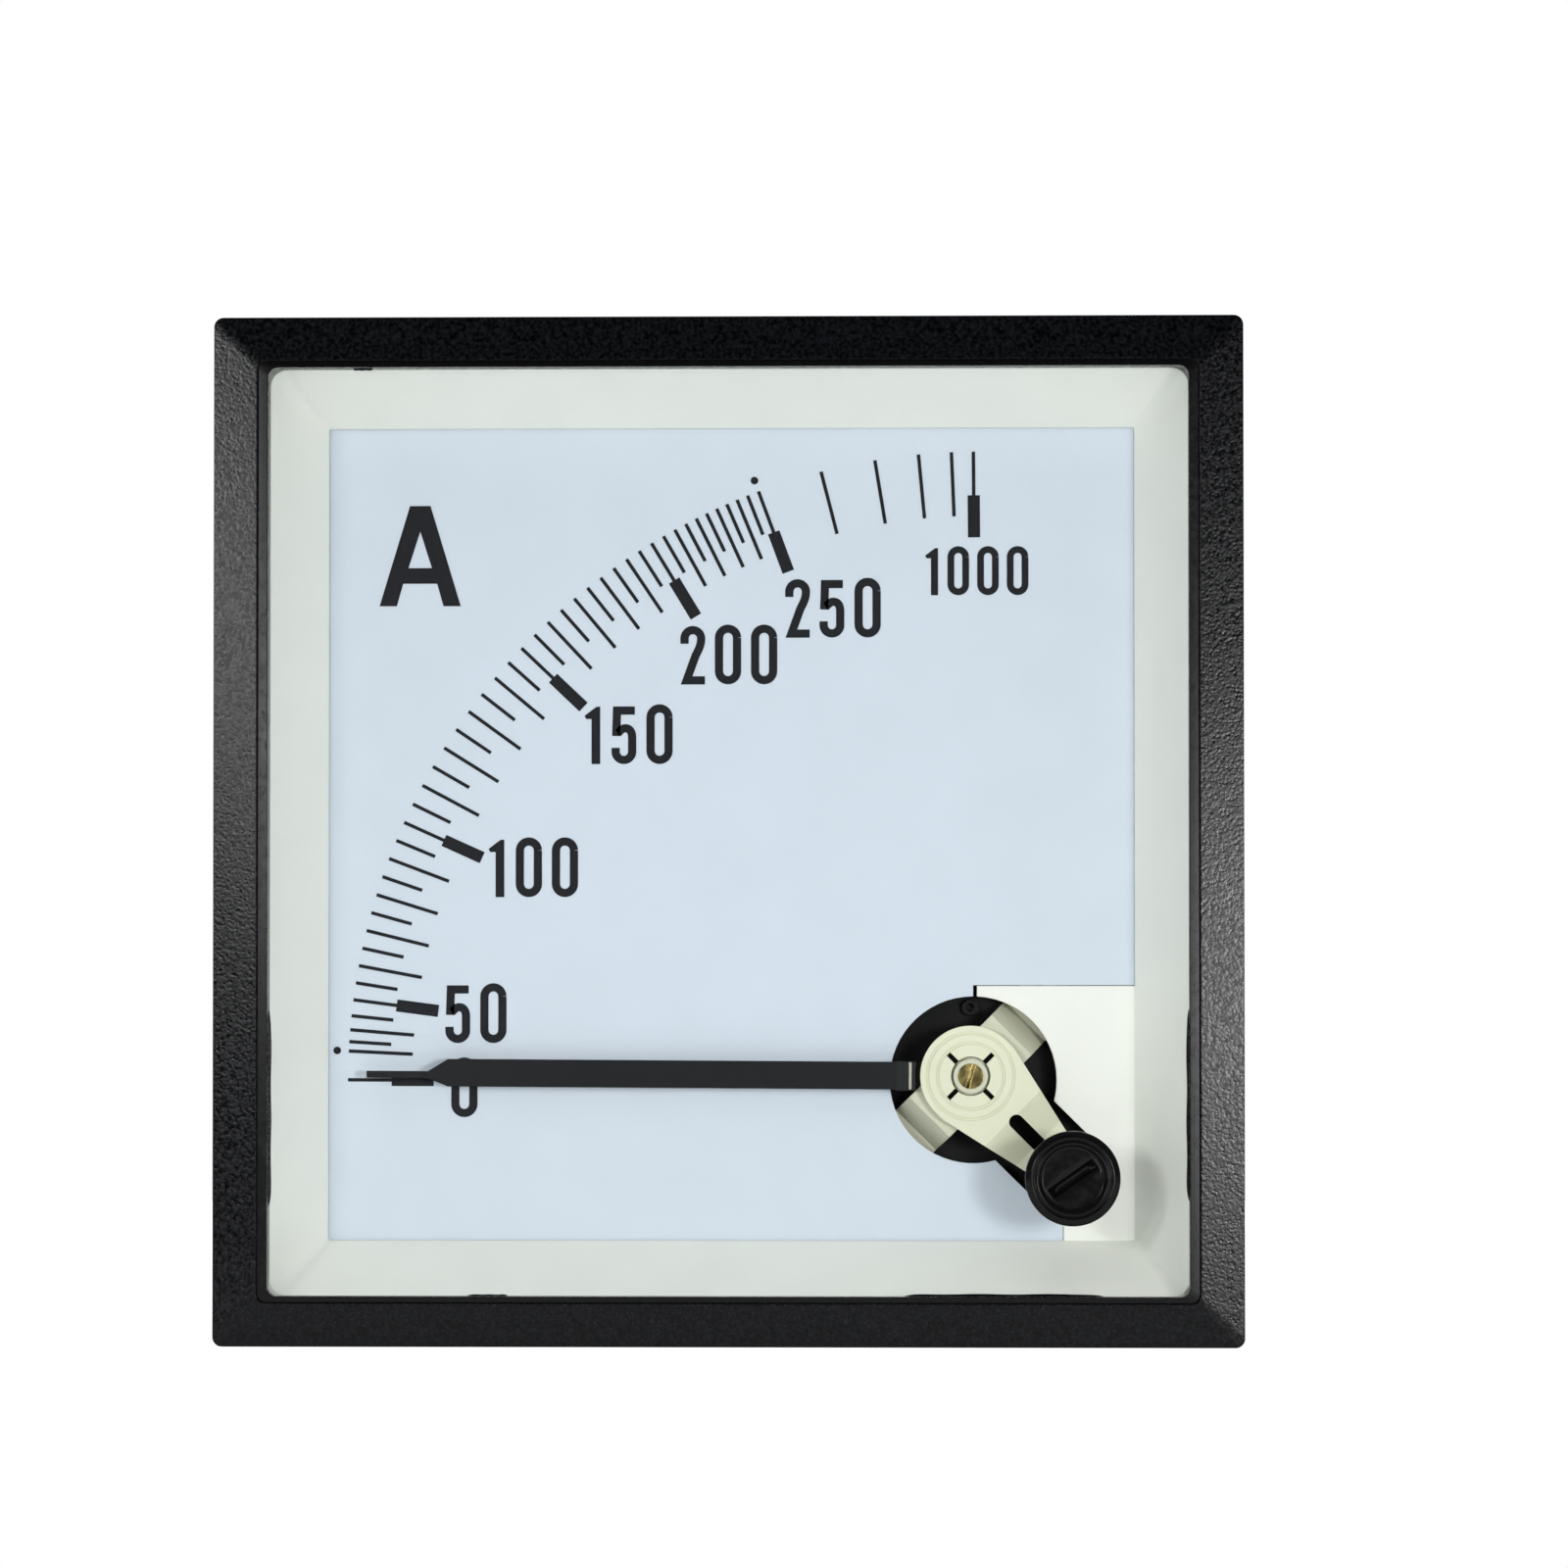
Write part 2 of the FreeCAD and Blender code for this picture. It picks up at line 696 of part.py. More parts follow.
def make_rear_case():
    """Box behind the panel: posts for the movement, terminal seats, tongue and clamp recesses."""
    body = new_body("rear_case")
    outline = front_sketch(body, "outline", case_front)
    square(outline, case_half)
    block = pad(outline, case_outside_back - case_front)
    round_edges(block, "corners", s.case_corner, runs_deep)
    inside = front_sketch(body, "inside", case_front)
    square(inside, case_inner)
    pocket(inside, case_inside_back - case_front)
    posts = front_sketch(body, "posts", frame_back)
    bores = front_sketch(body, "post_bores", frame_back)
    for x, z in four_corners(frame_fix):
        circle(posts, x, z, s.post_radius)
        circle(bores, x, z, s.screw_radius)
    pad(posts, case_inside_back - frame_back)
    pocket(bores, s.movement_screw_long)
    bosses = front_sketch(body, "bosses", case_outside_back)
    holes = front_sketch(body, "stud_holes", case_inside_back)
    for x, z in stud_places():
        rectangle(bosses, x - s.boss_half, x + s.boss_half, z - s.boss_half, z + s.boss_half)
        circle(holes, x, z, s.stud_radius + s.stud_gap)
    pad(bosses, s.boss_high)
    barrier = front_sketch(body, "barrier", case_outside_back)
    rectangle(barrier, -s.barrier_half_thick, s.barrier_half_thick, -s.barrier_half, s.barrier_half)
    pad(barrier, s.barrier_high)
    pocket(holes, s.case_back + s.boss_high)
    recess = front_sketch(body, "tongue_recess", case_front)
    snap = front_sketch(body, "tongue_snap", s.tongue_deep - s.tooth_deep - s.tongue_gap)
    half = s.tongue_wide / 2 + s.tongue_gap
    for side, level in tongue_places():
        side_block(recess, side, case_half - s.recess_deep, case_half + s.recess_deep, level, half)
        side_block(snap, side, case_inner - s.case_wall / 2, case_half - s.recess_deep / 2, level, half)
    pocket(recess, s.tongue_deep + s.tongue_gap - case_front)
    pocket(snap, s.tooth_deep + 2 * s.tongue_gap)
    for name, height, reverse in (("top", case_half, False), ("bottom", -case_half, True)):
        slots = section_sketch(body, "clamp_recess_" + name, height)
        for side in (-1, 1):
            for step in range(4):
                start = s.clamp_recess_start + s.clamp_recess_pitch * step
                middle = s.clamp_recess_side * side
                half_wide = s.clamp_recess_wide / 2
                rectangle(slots, middle - half_wide, middle + half_wide, start, start + s.clamp_recess_long)
        pocket(slots, s.clamp_recess_deep, reverse)


def cut_keyhole(body, front, length):
    """The round opening over the movement, its neck, and the opening round the adjuster's pin."""
    round_hole = front_sketch(body, "keyhole", front)
    circle(round_hole, keyhole_x, keyhole_z, s.keyhole_radius)
    pocket(round_hole, length)
    neck = front_sketch(body, "keyhole_neck", front)
    across_x = s.neck_half * sine(s.lever_angle)
    across_z = s.neck_half * cosine(s.lever_angle)
    polygon(neck, [(keyhole_x - across_x, keyhole_z - across_z), (adjuster_x - across_x, adjuster_z - across_z),
                   (adjuster_x + across_x, adjuster_z + across_z), (keyhole_x + across_x, keyhole_z + across_z)])
    pocket(neck, length)
    end = front_sketch(body, "keyhole_end", front)
    circle(end, adjuster_x, adjuster_z, s.neck_half)
    pocket(end, length)


def mask_lug_places():
    """Sides that hold the dial: the two free sides twice, the sides beside the corner plate once."""
    return [("left", -1), ("left", 1), ("right", 1), ("top", -1), ("top", 1), ("bottom", -1)]


def lug_block(sketch, side, level, near_x, far_x, near_z, far_z):
    """One lug's rectangle in the front view, on the named side."""
    middle = s.lug_place * level
    low, high = middle - s.lug_wide / 2, middle + s.lug_wide / 2
    if side == "left":
        rectangle(sketch, -far_x, -near_x, low, high)
    elif side == "right":
        rectangle(sketch, near_x, far_x, low, high)
    elif side == "top":
        rectangle(sketch, low, high, near_z, far_z)
    else:
        rectangle(sketch, low, high, -far_z, -near_z)


def make_reveal_mask():
    """Light moulded frame: clamped flange, four sloping walls, dial lugs and the corner plate."""
    body = new_body("reveal_mask")
    outer_front = front_sketch(body, "outer_front", glass_back)
    front_round = s.mask_round_front + s.mask_wall_front
    front_x, front_z = mask_open_x + s.mask_wall_front, mask_open_z + s.mask_wall_front
    rounded_rectangle(outer_front, front_x, front_z, front_round)
    outer_back = front_sketch(body, "outer_back", mask_back)
    back_round = s.mask_round_back + s.mask_wall / 2
    rounded_rectangle(outer_back, view_half_x + s.mask_wall, view_half_z + s.mask_wall, back_round)
    loft(outer_front, outer_back)
    flange = front_sketch(body, "flange", glass_back)
    square(flange, case_half)
    pad(flange, s.flange_thick)
    collar = front_sketch(body, "collar", mask_back - s.mask_collar_thick)
    square(collar, collar_half)
    pad(collar, s.mask_collar_thick)
    inner_front = front_sketch(body, "inner_front", glass_back)
    rounded_rectangle(inner_front, mask_open_x, mask_open_z, s.mask_round_front)
    inner_back = front_sketch(body, "inner_back", mask_back)
    rounded_rectangle(inner_back, view_half_x, view_half_z, s.mask_round_back)
    loft(inner_front, inner_back, "PartDesign::SubtractiveLoft")
    plate = front_sketch(body, "corner_plate", mask_back)
    plate_left = corner_line_x + s.plate_side_gap / 2
    plate_top = corner_line_z - s.plate_top_gap / 2
    plate_low_left = low_line_x + s.plate_top_gap / 2
    polygon(plate, [(plate_left, plate_top), (plate_left, keyhole_z), (plate_low_left, adjuster_z),
                    (plate_low_left, -collar_half), (collar_half, -collar_half), (collar_half, plate_top)])
    pad(plate, s.plate_thick)
    cut_keyhole(body, mask_back, s.plate_thick)
    near_x, near_z = dial_half_x + s.lug_gap, dial_half_z + s.lug_gap
    posts = front_sketch(body, "lug_posts", mask_back)
    lips = front_sketch(body, "lug_lips", dial_back)
    for side, level in mask_lug_places():
        lug_block(posts, side, level, near_x, collar_half, near_z, collar_half)
        lug_block(lips, side, level, near_x - s.lug_lip, collar_half, near_z - s.lug_lip, collar_half)
    pad(posts, dial_back - mask_back)
    pad(lips, s.lug_lip_thick)


def make_dial_plate():
    """Sheet dial with its lower right corner cut away round the movement."""
    body = new_body("dial_plate")
    outline = front_sketch(body, "outline", s.dial_depth)
    cut_x = corner_line_x - s.plate_side_gap / 2
    cut_z = corner_line_z + s.plate_top_gap / 2
    low_x = low_line_x - s.plate_top_gap / 2
    polygon(outline, [(-dial_half_x, -dial_half_z), (low_x, -dial_half_z), (low_x, adjuster_z),
                      (cut_x, keyhole_z), (cut_x, cut_z), (dial_half_x, cut_z),
                      (dial_half_x, dial_half_z), (-dial_half_x, dial_half_z)])
    pad(outline, s.dial_thick)
    cut_keyhole(body, s.dial_depth, s.dial_thick)


def scale_angle(amperes):
    """Angle of a reading: a smooth curve through the known angles, its slope averaged at each."""
    count = len(SCALE_AMPERES)
    upper = min(i for i in range(1, count) if amperes <= SCALE_AMPERES[i])
    slopes = []
    for i in (upper - 1, upper):
        before, after = max(i - 1, 0), min(i + 1, count - 1)
        rise = SCALE_ANGLES[after] - SCALE_ANGLES[before]
        slopes.append(rise / (SCALE_AMPERES[after] - SCALE_AMPERES[before]))
    span = SCALE_AMPERES[upper] - SCALE_AMPERES[upper - 1]
    part = (amperes - SCALE_AMPERES[upper - 1]) / span
    from_start = SCALE_ANGLES[upper - 1] * (1 + 2 * part) * (1 - part) ** 2
    from_end = SCALE_ANGLES[upper] * (3 - 2 * part) * part ** 2
    bend = span * part * (1 - part) * (slopes[0] * (1 - part) - slopes[1] * part)
    return from_start + from_end + bend


def make_scale_marks():
    """Printed scale: thin and bold strokes along rays from the scale's centre, and two dots."""
    ink = s.ink_thick.number
    outer = scale_radius.number
    half_thin, half_bold = s.thin_mark.number / 2, s.bold_mark.number / 2
    lift = Placement(Vector(scale_x.number, s.dial_depth.number - ink, scale_z.number), Rotation())

    def stroke(corners, angle):
        """A flat shape drawn along the ray that points left, turned up to its angle."""
        points = [Vector(x, 0, z) for x, z in corners]
        shape = Part.Face(Part.makePolygon(points + points[:1])).extrude(Vector(0, ink, 0))
        shape.rotate(Vector(0, 0, 0), Vector(0, 1, 0), angle)
        return shape

    def thin(angle, length):
        return stroke([(-outer, -half_thin), (length - outer, -half_thin),
                       (length - outer, half_thin), (-outer, half_thin)], angle)

    def bold(angle):
        start, end = s.bold_start.number - outer, s.bold_end.number - outer
        return stroke([(-outer, -half_thin), (start, -half_thin), (start, -half_bold), (end, -half_bold),
                       (end, half_bold), (start, half_bold), (start, half_thin), (-outer, half_thin)], angle)

    def dot(angle):
        shape = Part.makeCylinder(s.dot_radius.number, ink, Vector(-outer - s.dot_beyond.number, 0, 0),
                                  Vector(0, 1, 0))
        shape.rotate(Vector(0, 0, 0), Vector(0, 1, 0), angle)
        return shape

    marks = [bold(SCALE_ANGLES[0]), bold(OVERLOAD_ANGLES[-1])]
    for amperes in range(FIRST_MARK, LAST_MARK + 1, MARK_STEP):
        angle = scale_angle(amperes)
        if amperes % BOLD_STEP == 0:
            marks.append(bold(angle))
        elif amperes % LONG_STEP == 0:
            marks.append(thin(angle, s.long_mark.number))
        else:
            marks.append(thin(angle, s.short_mark.number))
    for angle in OVERLOAD_ANGLES[:-1]:
        marks.append(thin(angle, s.long_mark.number))
    marks += [dot(scale_angle(FIRST_MARK)), dot(scale_angle(LAST_MARK))]
    feature = doc.addObject("Part::Feature", "scale_marks")
    feature.Label = "scale_marks"
    feature.Shape = Part.makeCompound(marks)
    feature.Placement = lift


def make_zero_adjuster():
    """Slotted knob snapped into the glass, with a stalk and an off-centre pin for the lever."""
    body = new_body("zero_adjuster", adjuster_x, adjuster_z, s.lever_angle)
    knob_front = glass_front - s.knob_high
    dish = knob_front + s.knob_dish
    rim_in = s.knob_radius - s.knob_rim
    barb_front = glass_back + s.barb_gap
    stalk_back = s.disc_front + s.arm_drop - s.stalk_gap
    outline = section_sketch(body, "outline")
    polygon(outline, [(ZERO, dish), (s.knob_ring - s.knob_rim, dish), (s.knob_ring - s.knob_rim / 2, knob_front),
                      (s.knob_ring, knob_front), (s.knob_ring + s.knob_rim / 4, dish - s.knob_dish / 2),
                      (rim_in, dish - s.knob_dish / 2), (rim_in + s.knob_rim / 4, knob_front),
                      (s.knob_radius - s.knob_rim / 4, knob_front),
                      (s.knob_radius, knob_front + s.knob_rim / 4), (s.knob_radius, glass_front),
                      (s.shank_radius, glass_front), (s.shank_radius, barb_front),
                      (s.barb_radius, barb_front), (s.stalk_radius, barb_front + s.barb_thick),
                      (s.stalk_radius, stalk_back), (ZERO, stalk_back)])
    revolve(outline)
    pin = front_sketch(body, "pin", stalk_back)
    circle(pin, -s.pin_offset, ZERO, s.pin_radius)
    pad(pin, s.disc_thick + s.stalk_gap)
    slot = front_sketch(body, "driver_slot", knob_front)
    half_long, half_wide = s.knob_slot_long / 2, s.knob_slot_wide / 2
    across, along = cosine(s.knob_slot_turn), sine(s.knob_slot_turn)
    corners = [(half_wide * i, half_long * j) for i, j in ((-1, -1), (1, -1), (1, 1), (-1, 1))]
    polygon(slot, [(x * across + z * along, z * across - x * along) for x, z in corners])
    pocket(slot, s.knob_dish + s.knob_slot_deep)


def make_zero_lever():
    """Slit disc on the bridge's bush, with a tapered slotted arm that bends back to the adjuster."""
    body = new_body("zero_lever", pivot_x, pivot_z, s.lever_angle)
    disc = front_sketch(body, "disc", s.disc_front)
    circle(disc, ZERO, ZERO, s.disc_radius)
    pad(disc, s.disc_thick)
    ramp_end = s.arm_bend + s.arm_ramp
    arm_front = s.disc_front + s.arm_drop
    arm = section_sketch(body, "arm")
    polygon(arm, [(ZERO, s.disc_front), (s.arm_bend, s.disc_front), (ramp_end, arm_front),
                  (arm_end, arm_front), (arm_end, arm_front + s.disc_thick),
                  (ramp_end, arm_front + s.disc_thick), (s.arm_bend, disc_back), (ZERO, disc_back)])
    pad(arm, s.disc_radius * 2, symmetric=True)
    trim = front_sketch(body, "arm_taper", s.disc_front)
    tangent_x = s.disc_radius * s.arm_taper
    far_x = arm_end + s.disc_radius
    far_half = s.disc_radius - s.arm_taper * far_x
    beyond = s.disc_radius * 2
    for sign in (-1, 1):
        polygon(trim, [(tangent_x, s.disc_radius * sign), (far_x, far_half * sign),
                       (far_x, beyond * sign), (tangent_x, beyond * sign)])
    pocket(trim, s.disc_thick + s.arm_drop)
    post = front_sketch(body, "spring_anchor", disc_back)
    circle(post, s.anchor_reach, ZERO, s.anchor_radius)
    pad(post, spring_front + s.spring_tall - disc_back)
    bore = front_sketch(body, "bore", s.disc_front)
    circle(bore, ZERO, ZERO, s.disc_bore)
    pocket(bore, s.disc_thick)
    slits = front_sketch(body, "slits", s.disc_front)
    half, inner = s.slit_wide / 2, s.disc_bore * 0.9
    for sign in (-1, 1):
        rectangle(slits, inner * sign, s.slit_end * sign, -half, half)
        rectangle(slits, -half, half, inner * sign, s.slit_end * sign)
    pocket(slits, s.disc_thick)
    for name, radius in (("inner_groove", s.inner_groove), ("outer_groove", s.outer_groove)):
        groove = front_sketch(body, name, s.disc_front)
        circle(groove, ZERO, ZERO, radius)
        circle(groove, ZERO, ZERO, radius + s.groove_wide)
        pocket(groove, s.groove_deep)
    slot = front_sketch(body, "pin_slot", s.disc_front)
    rectangle(slot, s.lever_slot_start, s.adjuster_reach + s.lever_slot_past, -s.lever_slot_half, s.lever_slot_half)
    pocket(slot, s.disc_thick + s.arm_drop)
    slot_end = front_sketch(body, "pin_slot_end", s.disc_front)
    circle(slot_end, s.lever_slot_start, ZERO, s.lever_slot_half)
    pocket(slot_end, s.disc_thick + s.arm_drop)


def make_front_bridge():
    """Bent strap over the pointer, with the bush that holds the front jewel and guides the lever."""
    body = new_body("front_bridge", pivot_x, pivot_z, s.lever_angle - 90)
    strap = section_sketch(body, "strap")
    start, flat = s.bridge_foot_start, s.bridge_flat
    right = [(flat, bridge_front), (start, foot_front), (s.bridge_foot_end, foot_front),
             (s.bridge_foot_end, frame_front), (start - s.bridge_bend, frame_front),
             (flat - s.bridge_bend, bridge_back)]
    left = [(-x, y) for x, y in reversed(right)]
    polygon(strap, right + left)
    pad(strap, s.bridge_wide, symmetric=True)
    recess = front_sketch(body, "recess", bridge_front)
    circle(recess, ZERO, ZERO, s.bush_recess_radius)
    circle(recess, ZERO, ZERO, s.bush_guide)
    pocket(recess, s.bush_recess_deep)
    guide = front_sketch(body, "bush_guide", bridge_front - s.bush_guide_long)
    circle(guide, ZERO, ZERO, s.bush_guide)
    pad(guide, s.bush_guide_long)
    bush = front_sketch(body, "bush", bush_front)
    circle(bush, ZERO, ZERO, s.bush_radius)
    pad(bush, bridge_front - bush_front)
    bore = front_sketch(body, "bore", bush_front)
    circle(bore, ZERO, ZERO, s.jewel_radius)
    pocket(bore, bridge_back - bush_front)
    holes = front_sketch(body, "foot_holes", foot_front)
    for side in (-1, 1):
        circle(holes, s.bridge_screw_reach * side, ZERO, s.screw_radius + s.screw_gap)
    pocket(holes, s.bridge_thick)


def make_jewel_screw(label, slotted, bored, slot_angle):
    """Brass screw with a blind bearing bore at one end and a driver slot at the other."""
    body = new_body(label, pivot_x, pivot_z, slot_angle)
    hole = s.pivot_radius + s.pivot_gap
    inward = 1 if bored.number > slotted.number else -1
    bore_end = bored - (s.pivot_long - s.end_play / 2) * inward
    outline = section_sketch(body, "outline")
    polygon(outline, [(ZERO, slotted), (s.jewel_radius, slotted), (s.jewel_radius, bored),
                      (hole, bored), (hole, bore_end), (ZERO, bore_end)])
    revolve(outline)
    slot = front_sketch(body, "driver_slot", slotted)
    half = s.jewel_slot_wide / 2
    rectangle(slot, -s.jewel_radius * 2, s.jewel_radius * 2, -half, half)
    pocket(slot, s.jewel_slot_deep, reverse=inward < 0)


def make_spindle():
    """Steel spindle with a thin pivot at each end."""
    body = new_body("spindle", pivot_x, pivot_z)
    front = bridge_back + s.end_play
    back = cup_front + s.cup_long - s.cup_wall - s.end_play * 2
    outline = section_sketch(body, "outline")
    polygon(outline, [(ZERO, front - s.pivot_long), (s.pivot_radius, front - s.pivot_long),
                      (s.pivot_radius, front), (s.spindle_radius, front), (s.spindle_radius, back),
                      (s.pivot_radius, back), (s.pivot_radius, back + s.pivot_long),
                      (ZERO, back + s.pivot_long)])
    revolve(outline)


def make_pointer_clip():
    """Sheet metal carrier on a hub, stepped forward to the level of the pointer."""
    body = new_body("pointer_clip", pivot_x, pivot_z, s.pointer_rest)
    strip = section_sketch(body, "strip")
    riser = -s.clip_riser
    polygon(strip, [(ZERO, clip_front), (riser, clip_front), (riser, tongue_front),
                    (-s.clip_end, tongue_front), (-s.clip_end, tongue_front + s.clip_thick),
                    (riser - s.clip_thick, tongue_front + s.clip_thick),
                    (riser - s.clip_thick, clip_front + s.clip_thick), (ZERO, clip_front + s.clip_thick)])
    pad(strip, s.clip_half * 2, symmetric=True)
    hub = front_sketch(body, "hub", clip_front)
    circle(hub, ZERO, ZERO, s.hub_radius)
    pad(hub, s.hub_long)
    bore = front_sketch(body, "bore", clip_front)
    circle(bore, ZERO, ZERO, s.spindle_radius)
    pocket(bore, s.hub_long)


def make_pointer_bar():
    """Thin channel that runs to a wedge and a knife edge, open at the back."""
    body = new_body("pointer_bar", pivot_x, pivot_z, s.pointer_rest)
    outline = front_sketch(body, "outline", pointer_front)
    half, tip_top, tip_foot = s.pointer_half, s.tip_half - s.tip_low, -s.tip_half - s.tip_low
    polygon(outline, [(-s.pointer_start, -half), (-s.pointer_start, half), (-pointer_full, half),
                      (-pointer_wedge, tip_top), (-pointer_tip, tip_top), (-pointer_tip, tip_foot),
                      (-pointer_wedge, tip_foot), (-pointer_full, -half)])
    pad(outline, s.pointer_high)
    channel = front_sketch(body, "channel", pointer_front + s.pointer_web)
    inner = half - s.pointer_web
    rectangle(channel, -s.pointer_start + s.pointer_web, -pointer_full, -inner, inner)
    pocket(channel, s.pointer_high)


def make_hairspring():
    """Flat spiral of half turns whose centres change sides, from the collet to the anchor."""
    strip = s.spring_strip.number
    inner = s.collet_radius.number + s.spring_gap.number + strip / 2
    outer = s.anchor_reach.number - s.anchor_radius.number - strip / 2
    growth = (outer - inner) / SPRING_HALF_TURNS

    def edge_arcs(shift):
        """Half circles of one edge of the strip, each starting where the last one ended."""
        arcs = []
        for turn in range(SPRING_HALF_TURNS):
            near, far = inner + growth * turn, inner + growth * (turn + 1)
            side = -1 if turn % 2 == 0 else 1
            middle = -side * (far - near) / 2
            radius = (near + far) / 2 + shift
            start = Vector(middle + side * radius, 0, 0)
            top = Vector(middle, 0, -side * radius)
            end = Vector(middle - side * radius, 0, 0)
            arcs.append(Part.Arc(start, top, end).toShape())
        return arcs

    inside, outside = edge_arcs(-strip / 2), edge_arcs(strip / 2)
    first = Part.LineSegment(inside[0].Vertexes[0].Point, outside[0].Vertexes[0].Point).toShape()
    last = Part.LineSegment(inside[-1].Vertexes[-1].Point, outside[-1].Vertexes[-1].Point).toShape()
    wire = Part.Wire(Part.__sortEdges__(inside + outside + [first, last]))
    feature = doc.addObject("Part::Feature", "hairspring")
    feature.Label = "hairspring"
    feature.Shape = Part.Face(wire).extrude(Vector(0, s.spring_tall.number, 0))
    place = Vector(pivot_x.number, spring_front.number, pivot_z.number)
    feature.Placement = Placement(place, Rotation(Vector(0, 1, 0), s.lever_angle.number))


def make_spring_collet():
    """Brass ring on the spindle inside the hairspring."""
    body = new_body("spring_collet", pivot_x, pivot_z)
    ring(body, "outline", s.spindle_radius, s.collet_radius, collet_front, collet_front + s.collet_long)


def make_movement_frame():
    """Black moulded plate with two columns, the coil's seat, screw bores and a small eye boss."""
    body = new_body("movement_frame")
    plate = front_sketch(body, "plate", frame_front)
    half = frame_half
    rectangle(plate, pivot_x - half, pivot_x + half, pivot_z - half, pivot_z + half)
    circle(plate, pivot_x, pivot_z, s.frame_hole)
    for x, z in four_corners(frame_fix):
        circle(plate, x, z, s.screw_radius + s.screw_gap)
    for x, z in bridge_screw_places():
        circle(plate, x, z, s.screw_radius)
    pad(plate, s.frame_thick)
    columns = front_sketch(body, "columns", frame_back)
    for x, z in column_places():
        circle(columns, x, z, s.column_radius)
    pad(columns, rear_bar_front - frame_back)
    bores = front_sketch(body, "column_bores", rear_bar_front - s.rear_screw_long)
    for x, z in column_places():
        circle(bores, x, z, s.screw_radius)
    pocket(bores, s.rear_screw_long)
    eye = front_sketch(body, "eye", frame_front - s.eye_high)
    circle(eye, pivot_x, pivot_z + s.eye_up, s.eye_radius)
    circle(eye, pivot_x, pivot_z + s.eye_up, s.eye_hole)
    pad(eye, s.eye_high)


def make_screws(label, places, head_side, seat, shank_to, slot_angle):
    """Like screws as one group: heads seated on a face, shanks running away from it."""
    body = new_body(label)
    toward_front = head_side == "front"
    head = front_sketch(body, "heads", seat - s.screw_head_high if toward_front else seat)
    shank = front_sketch(body, "shanks", seat if toward_front else shank_to)
    slot = front_sketch(body, "slots", seat - s.screw_head_high if toward_front else seat + s.screw_head_high)
    across_x = s.screw_head * cosine(slot_angle) * 0.9
    across_z = s.screw_head * sine(slot_angle) * 0.9
    thick_x = s.screw_head * sine(slot_angle) * 0.15
    thick_z = s.screw_head * cosine(slot_angle) * 0.15
    for x, z in places:
        circle(head, x, z, s.screw_head)
        circle(shank, x, z, s.screw_radius)
        polygon(slot, [(x - across_x - thick_x, z - across_z + thick_z),
                       (x - across_x + thick_x, z - across_z - thick_z),
                       (x + across_x + thick_x, z + across_z - thick_z),
                       (x + across_x - thick_x, z + across_z + thick_z)])
    pad(head, s.screw_head_high)
    pad(shank, shank_to - seat if toward_front else seat - shank_to)
    pocket(slot, s.screw_head_high / 2, reverse=not toward_front)


def make_coil_bobbin():
    """Flanged tube that seats on the movement frame, with two stop pins for the balance tail."""
    body = new_body("coil_bobbin", pivot_x, pivot_z)
    tube, flange = s.bobbin_bore + s.bobbin_wall, bobbin_flange
    front_in = frame_back + s.bobbin_flange_thick
    back_in = bobbin_back - s.bobbin_flange_thick
    outline = section_sketch(body, "outline")
    polygon(outline, [(s.bobbin_bore, frame_back), (flange, frame_back), (flange, front_in),
                      (tube, front_in), (tube, back_in), (flange, back_in),
                      (flange, bobbin_back), (s.bobbin_bore, bobbin_back)])
    revolve(outline)
    stops = front_sketch(body, "stops", bobbin_back)
    for angle in (-s.stop_before, s.stop_after):
        circle(stops, s.stop_reach * cosine(angle), -s.stop_reach * sine(angle), s.stop_radius)
    pad(stops, s.stop_long)


def make_coil_winding():
    """Copper winding between the bobbin's flanges, its turns as one ring."""
    body = new_body("coil_winding", pivot_x, pivot_z)
    ring(body, "outline", s.bobbin_bore + s.bobbin_wall, winding_radius,
         frame_back + s.bobbin_flange_thick, bobbin_back - s.bobbin_flange_thick)


def make_irons():
    """Fixed iron in the bobbin's bore, and the curved iron on the spindle that it repels."""
    fixed = new_body("fixed_iron", pivot_x, pivot_z, s.lever_angle)
    front, back = frame_back + s.iron_end_gap, bobbin_back - s.iron_end_gap
    ring(fixed, "outline", s.bobbin_bore - s.fixed_iron_thick, s.bobbin_bore, front, back,
         s.fixed_iron_angle, midplane=True)
    moving = new_body("moving_iron", pivot_x, pivot_z, s.lever_angle)
    web_back = front + s.moving_iron_web
    outer = s.moving_iron_radius
    wall = outer - s.moving_iron_thick
    vane = section_sketch(moving, "vane")
    polygon(vane, [(s.spindle_radius, front), (outer, front), (outer, back), (wall, back),
                   (wall, web_back), (s.spindle_radius, web_back)])
    revolve(vane, s.moving_iron_angle, midplane=True)
    ring(moving, "collar", s.spindle_radius, s.moving_iron_collar, front, web_back + s.moving_iron_web)


